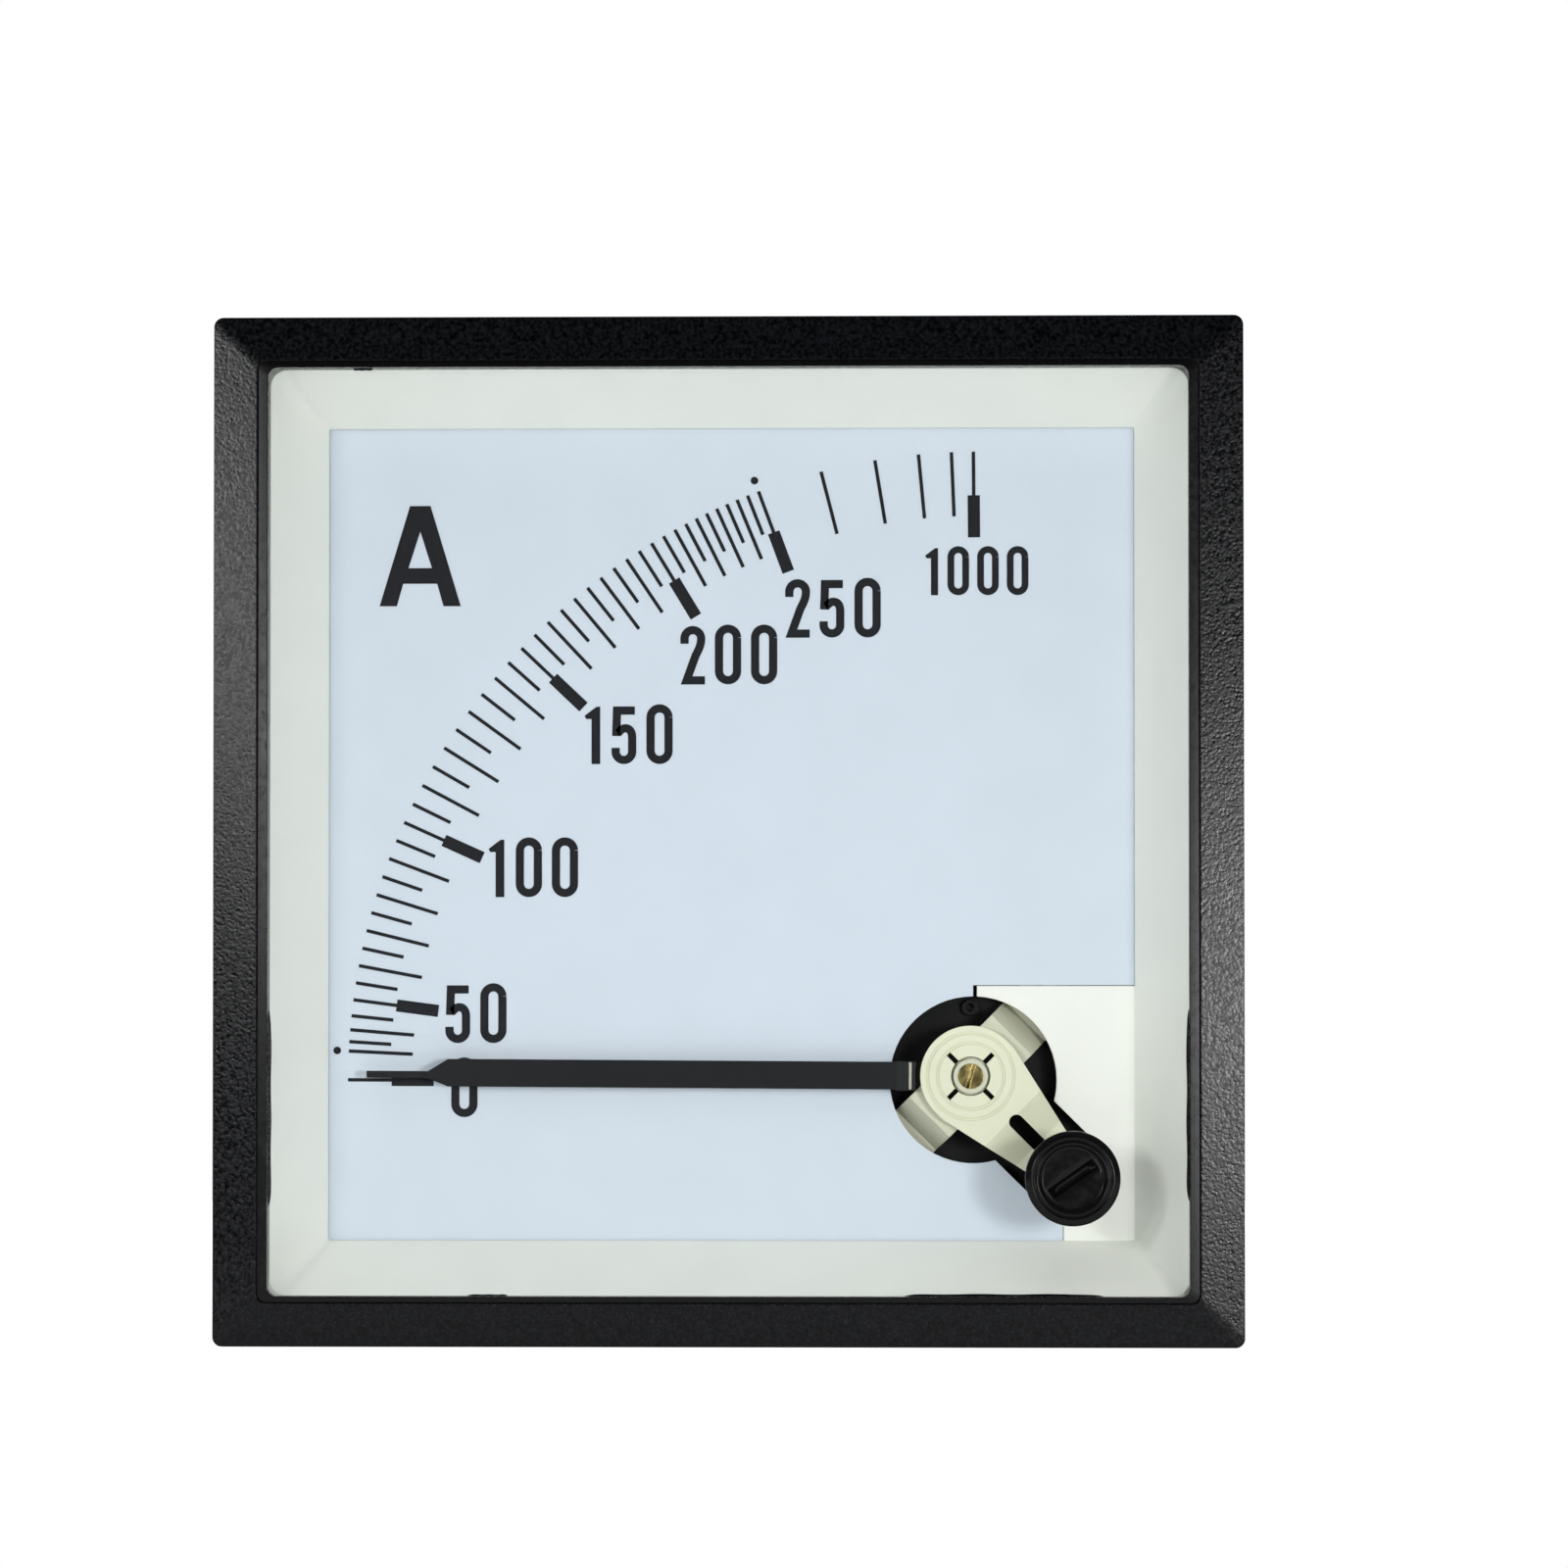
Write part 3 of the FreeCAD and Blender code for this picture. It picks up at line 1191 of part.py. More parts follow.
def make_balance():
    """Cross of two round arms on the spindle, and a weight on each arm."""
    cross = new_body("balance_cross", pivot_x, pivot_z, s.pointer_rest)
    half = s.balance_collar / 2
    ring(cross, "collar", s.spindle_radius, s.balance_collar, balance_depth - half, balance_depth + half)
    start = (s.spindle_radius + s.balance_collar) / 2
    tail = side_sketch(cross, "tail", start)
    circle(tail, balance_depth, ZERO, s.balance_rod)
    pad(tail, tail_long - start, reverse=False)
    side = section_sketch(cross, "side", start)
    circle(side, ZERO, balance_depth, s.balance_rod)
    pad(side, s.side_long - start, reverse=False)
    weights = new_body("balance_weights", pivot_x, pivot_z, s.pointer_rest)
    tail_weight = side_sketch(weights, "tail_weight", tail_weight_start)
    circle(tail_weight, balance_depth, ZERO, s.tail_weight_radius)
    circle(tail_weight, balance_depth, ZERO, s.balance_rod)
    pad(tail_weight, s.tail_weight_long, reverse=False)
    side_weight = section_sketch(weights, "side_weight", s.side_weight_start)
    circle(side_weight, ZERO, balance_depth, s.side_weight_radius)
    circle(side_weight, ZERO, balance_depth, s.balance_rod)
    pad(side_weight, s.side_weight_long, reverse=False)


def make_damper():
    """Oil cup on the rear bridge, and the disc on the spindle that turns in it."""
    cup = new_body("damper_cup", pivot_x, pivot_z)
    inside, floor = s.cup_radius - s.cup_wall, rear_bar_front - s.cup_wall
    outline = section_sketch(cup, "outline")
    hole = s.jewel_radius + s.end_play / 4
    polygon(outline, [(inside, cup_front), (s.cup_radius, cup_front), (s.cup_radius, rear_bar_front),
                      (hole, rear_bar_front), (hole, floor), (inside, floor)])
    revolve(outline)
    disc = new_body("damper_disc", pivot_x, pivot_z)
    middle = cup_front + (s.cup_long - s.cup_wall) / 2
    half, hub_half = s.vane_thick / 2, s.vane_hub_long / 2
    ring(disc, "disc", s.spindle_radius, s.vane_radius, middle - half, middle + half)
    ring(disc, "hub", s.spindle_radius, s.vane_hub, middle - hub_half, middle + hub_half)


def make_rear_bridge():
    """Bar across the two columns that carries the rear jewel and the oil cup."""
    body = new_body("rear_bridge", pivot_x, pivot_z)
    end = frame_half
    bar = front_sketch(body, "bar", rear_bar_front)
    rectangle(bar, -end, end, -s.rear_bar_half, s.rear_bar_half)
    circle(bar, ZERO, ZERO, s.jewel_radius)
    for side in (-1, 1):
        circle(bar, column_reach * side, ZERO, s.screw_radius + s.screw_gap)
    pad(bar, s.rear_bar_thick)


def make_terminals():
    """Two studs through the back wall, each with a solder tag inside, a washer and a nut outside.

    The shank is reduced to the pitch radius, which the nut shares where its thread engages."""
    studs = new_body("terminal_studs")
    heads = front_sketch(studs, "heads", stud_head_front)
    shanks = front_sketch(studs, "shanks", tag_front)
    ends = front_sketch(studs, "ends", nut_back)
    washers = new_body("terminal_washers")
    rings = front_sketch(washers, "rings", boss_back)
    nuts = new_body("terminal_nuts")
    hexes = front_sketch(nuts, "hexes", washer_back)
    for x, z in stud_places():
        hexagon(heads, x, z, s.stud_head_flats)
        circle(shanks, x, z, s.stud_pitch_radius)
        circle(ends, x, z, s.stud_radius)
        circle(rings, x, z, s.washer_radius)
        circle(rings, x, z, s.stud_radius + s.stud_gap)
        hexagon(hexes, x, z, s.nut_flats)
        circle(hexes, x, z, s.stud_pitch_radius)
    pad(heads, s.stud_head_high)
    pad(shanks, nut_back - tag_front)
    pad(ends, s.stud_end)
    pad(rings, s.washer_thick)
    pad(hexes, s.nut_high)
    tags = new_body("solder_tags")
    plates = front_sketch(tags, "plates", tag_front)
    (left_x, left_z), (right_x, right_z) = stud_places()
    half, wide = s.tag_wide / 2, s.stud_head_flats / 2
    reach = s.tag_reach + half
    outline = [(-wide, -wide), (wide, -wide), (wide, -half), (reach, -half),
               (reach, half), (wide, half), (wide, wide), (-wide, wide)]
    polygon(plates, [(left_x + along, left_z + across) for along, across in outline])
    polygon(plates, [(right_x + across, right_z - along) for along, across in outline])
    pad(plates, s.tag_thick)
    holes = front_sketch(tags, "holes", tag_front)
    for x, z in stud_places():
        circle(holes, x, z, s.stud_radius + s.stud_gap)
    pocket(holes, s.tag_thick)


def rounded_route(points):
    """A wire of straight runs joined by tangent arcs as large as the shorter run allows."""
    edges = []
    start = points[0]
    for before, corner, after in zip(points, points[1:], points[2:]):
        inward, outward = before - corner, after - corner
        turn = math.pi - inward.getAngle(outward)
        cut = 0.45 * min(inward.Length, outward.Length)
        radius = cut / math.tan(turn / 2)
        first = corner + inward.normalize() * cut
        last = corner + outward.normalize() * cut
        towards = (first + last) * 0.5 - corner
        middle = corner + towards.normalize() * (math.hypot(radius, cut) - radius)
        edges.append(Part.LineSegment(start, first).toShape())
        edges.append(Part.Arc(first, middle, last).toShape())
        start = last
    edges.append(Part.LineSegment(start, points[-1]).toShape())
    return Part.Wire(edges)


def make_lead(label, points):
    """One coil lead: a round wire along its route, from the bobbin's flange to a solder tag."""
    route = rounded_route(points)
    radius = s.lead_radius.number
    section = Part.Wire(Part.makeCircle(radius, points[0], points[1] - points[0]))
    feature = doc.addObject("Part::Feature", label)
    feature.Label = label
    feature.Shape = route.makePipeShell([section], True, False)
    expected = math.pi * radius ** 2 * route.Length
    if abs(feature.Shape.Volume / expected - 1) > 0.01:
        raise ValueError(label + " has the wrong volume")


def make_leads():
    """Both leads of the coil, held at their two ends and clear of the balance weights."""
    deep = bobbin_back.number
    reach = s.lead_exit.number
    px, pz = pivot_x.number, pivot_z.number
    tag = tag_front.number
    (left_x, left_z), (right_x, right_z) = [(x.number, z.number) for x, z in stud_places()]
    slant = reach * math.cos(math.radians(45))
    eye_left = left_x + s.tag_reach.number
    eye_right = right_z - s.tag_reach.number
    rise, step, drop = s.lead_rise.number, s.lead_step.number, s.lead_drop.number
    make_lead("coil_lead_left", [
        Vector(px - slant, deep, pz + slant),
        Vector(px - slant, deep + rise, pz + slant),
        Vector(px - slant - step, deep + rise + step, left_z + drop),
        Vector(eye_left + rise + step, tag - drop, left_z + drop + step),
        Vector(eye_left, tag - drop, left_z),
        Vector(eye_left, tag, left_z),
    ])
    make_lead("coil_lead_right", [
        Vector(px + step, deep, pz + reach),
        Vector(px + step, deep + rise + step, pz + reach),
        Vector(right_x, tag - drop, eye_right),
        Vector(right_x, tag, eye_right),
    ])


make_bezel_frame()
make_window_glass()
make_rear_case()
make_reveal_mask()
make_dial_plate()
make_scale_marks()
make_zero_adjuster()
make_zero_lever()
make_front_bridge()
make_jewel_screw("front_jewel_screw", jewel_front, bridge_back, -s.jewel_slot_angle)
make_jewel_screw("rear_jewel_screw", rear_bar_back + s.cup_wall, rear_bar_front - s.cup_wall - s.end_play,
                 s.jewel_slot_angle)
make_spindle()
make_pointer_clip()
make_pointer_bar()
make_hairspring()
make_spring_collet()
make_movement_frame()
make_screws("movement_screws", four_corners(frame_fix), "front", frame_front,
            frame_back + s.movement_screw_long * 0.8, as_size(30))
make_screws("bridge_screws", bridge_screw_places(), "front", foot_front,
            frame_back - s.screw_gap, as_size(60))
make_screws("rear_bridge_screws", column_places(), "back", rear_bar_back,
            rear_bar_front - s.rear_screw_long * 0.9, as_size(75))
make_coil_bobbin()
make_coil_winding()
make_irons()
make_balance()
make_damper()
make_rear_bridge()
make_terminals()
make_leads()
doc.recompute()


def check_and_export():
    """Stops on any failed object, empty shape or cut that removed nothing, then writes the files."""
    for item in doc.Objects:
        if "Invalid" in item.State or "Error" in item.State:
            raise ValueError(item.Name + " failed")
        if item.TypeId in ("PartDesign::Pocket", "PartDesign::SubtractiveLoft"):
            if item.Shape.Volume > item.BaseFeature.Shape.Volume - 1e-6:
                raise ValueError(item.Name + " cuts nothing")
    sub_parts = [item for item in doc.Objects if item.TypeId in ("PartDesign::Body", "Part::Feature")]
    for item in sub_parts:
        if item.Shape.isNull() or not item.Shape.isValid():
            raise ValueError(item.Label + " has no valid shape")
    for item in sub_parts:
        item.Shape.exportStep(os.path.join("parts", item.Label + ".step"))
    print(len(sub_parts), "sub-parts written")


check_and_export()
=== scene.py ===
import json
import math

import bmesh
import bpy
import numpy as np
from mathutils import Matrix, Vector


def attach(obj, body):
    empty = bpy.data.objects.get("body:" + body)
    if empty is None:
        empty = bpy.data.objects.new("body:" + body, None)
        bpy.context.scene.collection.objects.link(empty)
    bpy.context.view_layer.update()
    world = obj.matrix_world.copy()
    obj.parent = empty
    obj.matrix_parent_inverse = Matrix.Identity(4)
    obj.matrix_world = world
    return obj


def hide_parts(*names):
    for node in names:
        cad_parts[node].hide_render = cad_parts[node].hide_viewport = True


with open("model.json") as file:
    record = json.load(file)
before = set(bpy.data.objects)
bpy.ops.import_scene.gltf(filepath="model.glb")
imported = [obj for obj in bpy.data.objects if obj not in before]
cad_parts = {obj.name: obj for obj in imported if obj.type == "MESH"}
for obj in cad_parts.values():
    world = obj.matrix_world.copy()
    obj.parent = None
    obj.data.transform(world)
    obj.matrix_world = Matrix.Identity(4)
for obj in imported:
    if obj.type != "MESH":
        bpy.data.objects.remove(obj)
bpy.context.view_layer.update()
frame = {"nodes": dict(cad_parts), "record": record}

MM = 0.001

# Places in millimetres: y of the frame's and the dial's front, z of the floor.
BEZEL_FRONT = -5.5
DIAL_FRONT = 6.5
INK_THICK = 0.04
FLOOR_Z = -48.0


# Small helpers for arrays and meshes.

def mesh_object(name, points, faces, body, material, smooth=True):
    """A mesh from points in millimetres and a list of faces, riding on a body."""
    mesh = bpy.data.meshes.new(name)
    mesh.from_pydata((np.asarray(points, dtype=float) * MM).tolist(), [], faces)
    mesh.validate()
    mesh.polygons.foreach_set("use_smooth", np.full(len(mesh.polygons), smooth))
    mesh.update()
    piece = bpy.data.objects.new(name, mesh)
    bpy.context.scene.collection.objects.link(piece)
    piece.data.materials.append(material)
    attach(piece, body)
    return piece


def grid_faces(rows, columns, start=0, close_rows=False, close_columns=False):
    """Quads (i, j), (i + 1, j), (i + 1, j + 1), (i, j + 1) of a grid stored row by row."""
    i = np.arange(rows if close_rows else rows - 1)
    j = np.arange(columns if close_columns else columns - 1)
    i, j = [a.ravel() for a in np.meshgrid(i, j, indexing="ij")]
    di, dj = (i + 1) % rows, (j + 1) % columns
    quads = np.stack([i * columns + j, di * columns + j,
                      di * columns + dj, i * columns + dj], axis=1)
    return (quads + start).tolist()


def end_caps(rows, columns, start=0):
    """The first and the last row of a grid, each as one face."""
    last = start + (rows - 1) * columns
    return [list(range(start, start + columns))[::-1], list(range(last, last + columns))]


def face_outwards(piece):
    """Turns every face of a closed mesh outwards."""
    work = bmesh.new()
    work.from_mesh(piece.data)
    bmesh.ops.recalc_face_normals(work, faces=work.faces)
    work.to_mesh(piece.data)
    work.free()


# Materials. Every pattern reads Object coordinates, in metres.

EDGE_SAMPLES = 4

def new_material(name, colour, roughness, metallic=0.0, **sockets):
    """A Principled material with the plain values on its own sockets."""
    material = bpy.data.materials.new(name)
    material.use_nodes = True
    shader = material.node_tree.nodes["Principled BSDF"]
    shader.inputs["Base Color"].default_value = (*colour, 1.0)
    shader.inputs["Roughness"].default_value = roughness
    shader.inputs["Metallic"].default_value = metallic
    for socket, value in sockets.items():
        shader.inputs[socket.replace("_", " ")].default_value = value
    return material


def add_node(material, kind, **values):
    """A shader node, its values put on its sockets where it has them, else on its settings."""
    node = material.node_tree.nodes.new(kind)
    for key, value in values.items():
        if key in node.inputs:
            node.inputs[key].default_value = value
        else:
            setattr(node, key, value)
    return node


def link(material, source, output, target, socket):
    """Joins one node's output to another's socket."""
    material.node_tree.links.new(source.outputs[output], target.inputs[socket])


def noise(material, size, detail=2.0, stretch=None):
    """Noise with features about size millimetres across; stretch multiplies its scale by axis."""
    place = add_node(material, "ShaderNodeTexCoord")
    pattern = add_node(material, "ShaderNodeTexNoise", Scale=1.0 / (size * MM), Detail=detail)
    if stretch is None:
        link(material, place, "Object", pattern, "Vector")
        return pattern
    turn = add_node(material, "ShaderNodeMapping", Scale=stretch)
    link(material, place, "Object", turn, "Vector")
    link(material, turn, "Vector", pattern, "Vector")
    return pattern


def spread(material, pattern, low, high, start=0.3, end=0.7):
    """Maps a pattern's value from start to end onto low to high."""
    scale = add_node(material, "ShaderNodeMapRange")
    for name, value in (("From Min", start), ("From Max", end), ("To Min", low), ("To Max", high)):
        scale.inputs[name].default_value = value
    link(material, pattern, 0, scale, "Value")
    return scale


def tint(material, pattern, dark, light, start=0.35, end=0.65):
    """Drives the base colour between two colours by a pattern."""
    shader = material.node_tree.nodes["Principled BSDF"]
    ramp = add_node(material, "ShaderNodeValToRGB")
    ramp.color_ramp.elements[0].position = start
    ramp.color_ramp.elements[1].position = end
    ramp.color_ramp.elements[0].color = (*dark, 1.0)
    ramp.color_ramp.elements[1].color = (*light, 1.0)
    link(material, pattern, 0, ramp, "Fac")
    link(material, ramp, "Color", shader, "Base Color")


def rough(material, pattern, low, high):
    """Drives the roughness between two values by a pattern."""
    shader = material.node_tree.nodes["Principled BSDF"]
    link(material, spread(material, pattern, low, high), "Result", shader, "Roughness")


def relief(material, pattern, height, edge=0.0):
    """Bump height millimetres high, on normals that round edges by edge millimetres."""
    shader = material.node_tree.nodes["Principled BSDF"]
    bump = add_node(material, "ShaderNodeBump", Distance=height * MM)
    link(material, pattern, 0, bump, "Height")
    if edge:
        soft = add_node(material, "ShaderNodeBevel", samples=EDGE_SAMPLES, Radius=edge * MM)
        link(material, soft, "Normal", bump, "Normal")
    link(material, bump, "Normal", shader, "Normal")


def moulded(name, colour, roughness, grain=0.4, height=0.004, edge=0.12, vary=0.03, **sockets):
    """Moulded plastic: faint clouding of colour and gloss, a fine grain and rounded edges."""
    material = new_material(name, colour, roughness, **sockets)
    cloud = noise(material, 6.0, 3.0)
    dark = tuple(c * (1 - vary) for c in colour)
    light = tuple(min(c * (1 + vary), 1.0) for c in colour)
    tint(material, cloud, dark, light)
    fine = noise(material, grain, 3.0)
    rough(material, fine, roughness - 0.05, roughness + 0.05)
    relief(material, fine, height, edge)
    return material


def metal(name, colour, roughness, stretch=None, size=0.25, height=0.003, edge=0.06, wear=0.12):
    """Bare metal: drawn or turned lines, uneven gloss and rounded edges."""
    material = new_material(name, colour, roughness, metallic=1.0)
    lines = noise(material, size, 4.0, stretch)
    cloud = noise(material, 1.6, 3.0)
    tint(material, cloud, tuple(c * (1 - wear) for c in colour), colour)
    rough(material, lines, roughness - 0.08, roughness + 0.12)
    relief(material, lines, height, edge)
    return material


def spark_eroded(name, colour, roughness):
    """Black moulding with the coarse grain that an eroded mould leaves, pits and grains mixed."""
    material = new_material(name, colour, roughness, Specular_IOR_Level=0.13)
    coarse = noise(material, 0.36, 4.0)
    cells = add_node(material, "ShaderNodeTexVoronoi", Scale=1.0 / (0.3 * MM))
    place = add_node(material, "ShaderNodeTexCoord")
    link(material, place, "Object", cells, "Vector")
    both = add_node(material, "ShaderNodeMath", operation="MULTIPLY_ADD")
    link(material, cells, "Distance", both, 0)
    both.inputs[1].default_value = 0.6
    link(material, coarse, 0, both, 2)
    tint(material, coarse, tuple(c * 0.3 for c in colour), tuple(c * 2.6 for c in colour))
    rough(material, coarse, roughness - 0.08, roughness + 0.14)
    relief(material, both, 0.016, 0.15)
    return material


def clear_pane(name):
    """Thin clear plastic: light goes straight through, and a Fresnel part is mirrored."""
    material = bpy.data.materials.new(name)
    material.use_nodes = True
    nodes = material.node_tree.nodes
    nodes.remove(nodes["Principled BSDF"])
    clear = add_node(material, "ShaderNodeBsdfTransparent", Color=(0.985, 0.99, 0.99, 1.0))
    gloss = add_node(material, "ShaderNodeBsdfGlossy", Color=(1.0, 1.0, 1.0, 1.0), Roughness=0.03)
    mirror = add_node(material, "ShaderNodeFresnel", IOR=1.1)
    mix = add_node(material, "ShaderNodeMixShader")
    faint = noise(material, 30.0, 2.0)
    link(material, spread(material, faint, 0.02, 0.05), "Result", gloss, "Roughness")
    link(material, mirror, "Fac", mix, 0)
    link(material, clear, "BSDF", mix, 1)
    link(material, gloss, "BSDF", mix, 2)
    link(material, mix, "Shader", nodes["Material Output"], "Surface")
    return material


FINISHES = {
    "black_frame": spark_eroded("black_frame", (0.0022, 0.0024, 0.003), 0.17),
    "clear_pane": clear_pane("clear_pane"),
    "black_case": moulded("black_case", (0.004, 0.004, 0.0044), 0.4,
                          grain=0.5, height=0.01, Specular_IOR_Level=0.15),
    "cream_moulding": moulded("cream_moulding", (0.87, 0.88, 0.815), 0.5,
                              grain=0.6, height=0.003, edge=0.15, vary=0.012),
    "dial_paint": moulded("dial_paint", (0.64, 0.71, 0.79), 0.62,
                          grain=0.3, height=0.002, edge=0.05, vary=0.012),
    "black_ink": moulded("black_ink", (0.008, 0.009, 0.012), 0.6,
                         grain=0.2, height=0.002, edge=0.0, Specular_IOR_Level=0.2),
    "black_knob": moulded("black_knob", (0.003, 0.003, 0.0032), 0.22,
                          grain=0.7, height=0.006, edge=0.05, Specular_IOR_Level=0.13),
    "cream_lever": moulded("cream_lever", (0.74, 0.75, 0.56), 0.42,
                           grain=0.5, height=0.003, edge=0.08, vary=0.02),
    "bronze_spring": metal("bronze_spring", (0.72, 0.48, 0.26), 0.3),
    "cream_bridge": moulded("cream_bridge", (0.61, 0.61, 0.47), 0.42,
                            grain=0.5, height=0.003, edge=0.1, vary=0.02),
    "yellow_brass": metal("yellow_brass", (0.62, 0.50, 0.19), 0.2, size=1.2, height=0.001),
    "bright_steel": metal("bright_steel", (0.62, 0.63, 0.65), 0.28),
    "clip_metal": metal("clip_metal", (0.05, 0.05, 0.045), 0.4),
    "black_pointer": moulded("black_pointer", (0.006, 0.0072, 0.0082), 0.38,
                             grain=0.2, height=0.002, edge=0.08, Specular_IOR_Level=0.2),
    "white_moulding": moulded("white_moulding", (0.72, 0.72, 0.69), 0.5),
    "copper_wire": metal("copper_wire", (0.62, 0.28, 0.13), 0.3,
                         stretch=(1.0, 12.0, 1.0), size=1.2, height=0.05),
    "soft_iron": metal("soft_iron", (0.36, 0.36, 0.38), 0.45),
    "bridge_metal": metal("bridge_metal", (0.68, 0.69, 0.70), 0.36),
    "tinned_brass": metal("tinned_brass", (0.72, 0.72, 0.72), 0.35),
    "plated_steel": metal("plated_steel", (0.66, 0.67, 0.69), 0.3),
}
BLACK_STEP = moulded("black_step", (0.003, 0.003, 0.0034), 0.24,
                     grain=0.5, height=0.003, Specular_IOR_Level=0.13)
BAND_METAL = metal("band_metal", (0.42, 0.41, 0.34), 0.4)

for part in frame["record"]["subparts"]:
    node = frame["nodes"][part["node"]]
    for index in range(len(node.material_slots)):
        node.material_slots[index].material = FINISHES[part["material_slot"]]


# Printed numbers and the unit letter, in strokes whose sizes are millimetres on the dial.

STROKE = 0.78
HALF = STROKE / 2


def arc(cx, cz, radius, start, end, count=13):
    """Points (cx + r cos t, cz + r sin t) for t from start to end degrees."""
    t = np.radians(np.linspace(start, end, count))
    return np.stack([cx + radius * np.cos(t), cz + radius * np.sin(t)], axis=1)


def bend(p0, p1, p2, p3, count=13):
    """Cubic (1-t)^3 p0 + 3t(1-t)^2 p1 + 3t^2(1-t) p2 + t^3 p3."""
    t = np.linspace(0, 1, count)[:, None]
    p0, p1, p2, p3 = [np.asarray(p, dtype=float) for p in (p0, p1, p2, p3)]
    return (1 - t) ** 3 * p0 + 3 * t * (1 - t) ** 2 * p1 + 3 * t ** 2 * (1 - t) * p2 + t ** 3 * p3


def edges_of(path, half):
    """Both edges of a band: path plus and minus half times the mitred normal n / (n . n0)."""
    path = np.asarray(path, dtype=float)
    steps = np.diff(path, axis=0)
    steps /= np.linalg.norm(steps, axis=1)[:, None]
    before, after = np.vstack([steps[:1], steps]), np.vstack([steps, steps[-1:]])
    along = before + after
    along /= np.linalg.norm(along, axis=1)[:, None]
    normal = np.stack([-along[:, 1], along[:, 0]], axis=1)
    first = np.stack([-before[:, 1], before[:, 0]], axis=1)
    normal *= half / np.sum(normal * first, axis=1)[:, None]
    return path + normal, path - normal


def digit_zero():
    """A stadium ring: straight sides between two half circles."""
    radius, low, high = 0.855, 1.245, 4.43
    path = np.vstack([arc(1.24, high, radius, 0, 180), arc(1.24, low, radius, 180, 360)])
    path = np.vstack([path, path[:1]])
    return [edges_of(path, HALF)], 2.48


def digit_one():
    """A straight stem and a short flag, which share the stem's left side."""
    stem = (np.array([[0.67, 0.0], [0.67, 4.28], [0.67, 5.1], [1.16, 5.45]]),
            np.array([[1.49, 0.0], [1.49, 4.28], [1.49, 5.1], [1.49, 5.45]]))
    flag = (np.array([[0.0, 4.58], [0.67, 5.1]]), np.array([[0.16, 4.28], [0.67, 4.28]]))
    return [stem, flag], 1.49


def digit_two():
    """A hook, a slanted neck and a foot, carried on one path with a mitred corner."""
    hook = np.vstack([[[0.46, 3.86]], arc(1.25, 4.37, 0.79, 180, 0)])
    neck = bend((2.04, 4.37), (2.04, 3.72), (1.80, 3.30), (1.52, 2.76))
    path = np.vstack([hook, neck[1:], [[0.66, 0.38]], [[2.40, 0.38]]])
    return [edges_of(path, HALF)], 2.40


def digit_five():
    """A bar with its upright, and a bowl that starts on the upright's right side."""
    upright = edges_of([[2.19, 5.08], [0.50, 5.08], [0.42, 2.66]], HALF)
    bowl = np.vstack([bend((0.60, 2.93), (0.82, 3.2), (1.02, 3.40), (1.30, 3.40)),
                      bend((1.30, 3.40), (1.72, 3.40), (1.94, 3.04), (1.94, 2.50))[1:],
                      arc(1.155, 1.17, 0.785, 0, -180), [[0.37, 1.54]]])
    outer, inner = edges_of(bowl, HALF)
    outer[0], inner[0] = (0.80, 3.62), (0.80, 2.62)
    return [upright, (outer, inner)], 2.33


def letter_a():
    """Two slanted legs with an upright joint between them, and a bar that fills the gap."""
    heights = np.array([0.0, 2.14, 3.63, 7.12, 9.54])
    outer = np.stack([heights * 2.89 / 9.54, heights], axis=1)
    inner = np.stack([np.array([1.64, 2.25, 2.75, 3.865, 3.865]), heights], axis=1)
    mirror = np.array([7.73, 0.0]), np.array([-1.0, 1.0])
    bar = (np.array([[2.25, 2.14], [5.48, 2.14]]), np.array([[2.75, 3.63], [4.98, 3.63]]))
    other_leg = tuple(mirror[0] + mirror[1] * edge for edge in (inner, outer))
    return [(outer, inner), other_leg, bar], 7.73


# Each glyph gives its strokes and its width; the gap to the next one follows here.
GLYPHS = {"0": digit_zero, "1": digit_one, "2": digit_two, "5": digit_five, "A": letter_a}
GLYPH_GAP = {"0": 0.95, "1": 1.10, "2": 0.95, "5": 0.97, "A": 0.0}


def print_text(name, text, left, foot, scale=1.0):
    """Each stroke is a strip between two edges, given a front and a back INK_THICK apart;
    a stroke that ends where it starts is a closed ring, and any other gets two end caps."""
    points, faces, pen, start = [], [], left, 0
    depth = np.array([DIAL_FRONT - INK_THICK] * 2 + [DIAL_FRONT] * 2)
    for letter in text:
        strips, width = GLYPHS[letter]()
        for one, other in strips:
            flat = np.stack([one, other], axis=1) * scale + np.array([pen, foot])
            closed = np.allclose(one[0], one[-1])
            if closed:
                flat = flat[:-1]
            count = len(flat)
            solid = np.empty((count, 4, 3))
            solid[:, :, [0, 2]] = flat[:, [0, 1, 1, 0]]
            solid[:, :, 1] = depth
            points.append(solid.reshape(-1, 3))
            faces += grid_faces(count, 4, start, close_rows=closed, close_columns=True)
            if not closed:
                faces += end_caps(count, 4, start)
            start += 4 * count
        pen += (width + GLYPH_GAP[letter]) * scale
    face_outwards(mesh_object(name, np.vstack(points), faces, "housing",
                              FINISHES["black_ink"], smooth=False))


for name, text, left, foot, scale in (
        ("number_0", "0", -26.55, -26.86, 1.0), ("number_50", "50", -27.10, -19.83, 1.0),
        ("number_100", "100", -23.03, -5.99, 1.0), ("number_150", "150", -13.92, 6.64, 1.0),
        ("number_200", "200", -4.88, 14.20, 1.0), ("number_250", "250", 5.07, 18.63, 1.0),
        ("number_1000", "1000", 18.42, 22.63, 0.82), ("unit_letter", "A", -33.43, 21.67, 1.0)):
    print_text(name, text, left, foot, scale)


# The slotted knob of the zero adjuster, with its shank, barb, stalk and off-centre pin.

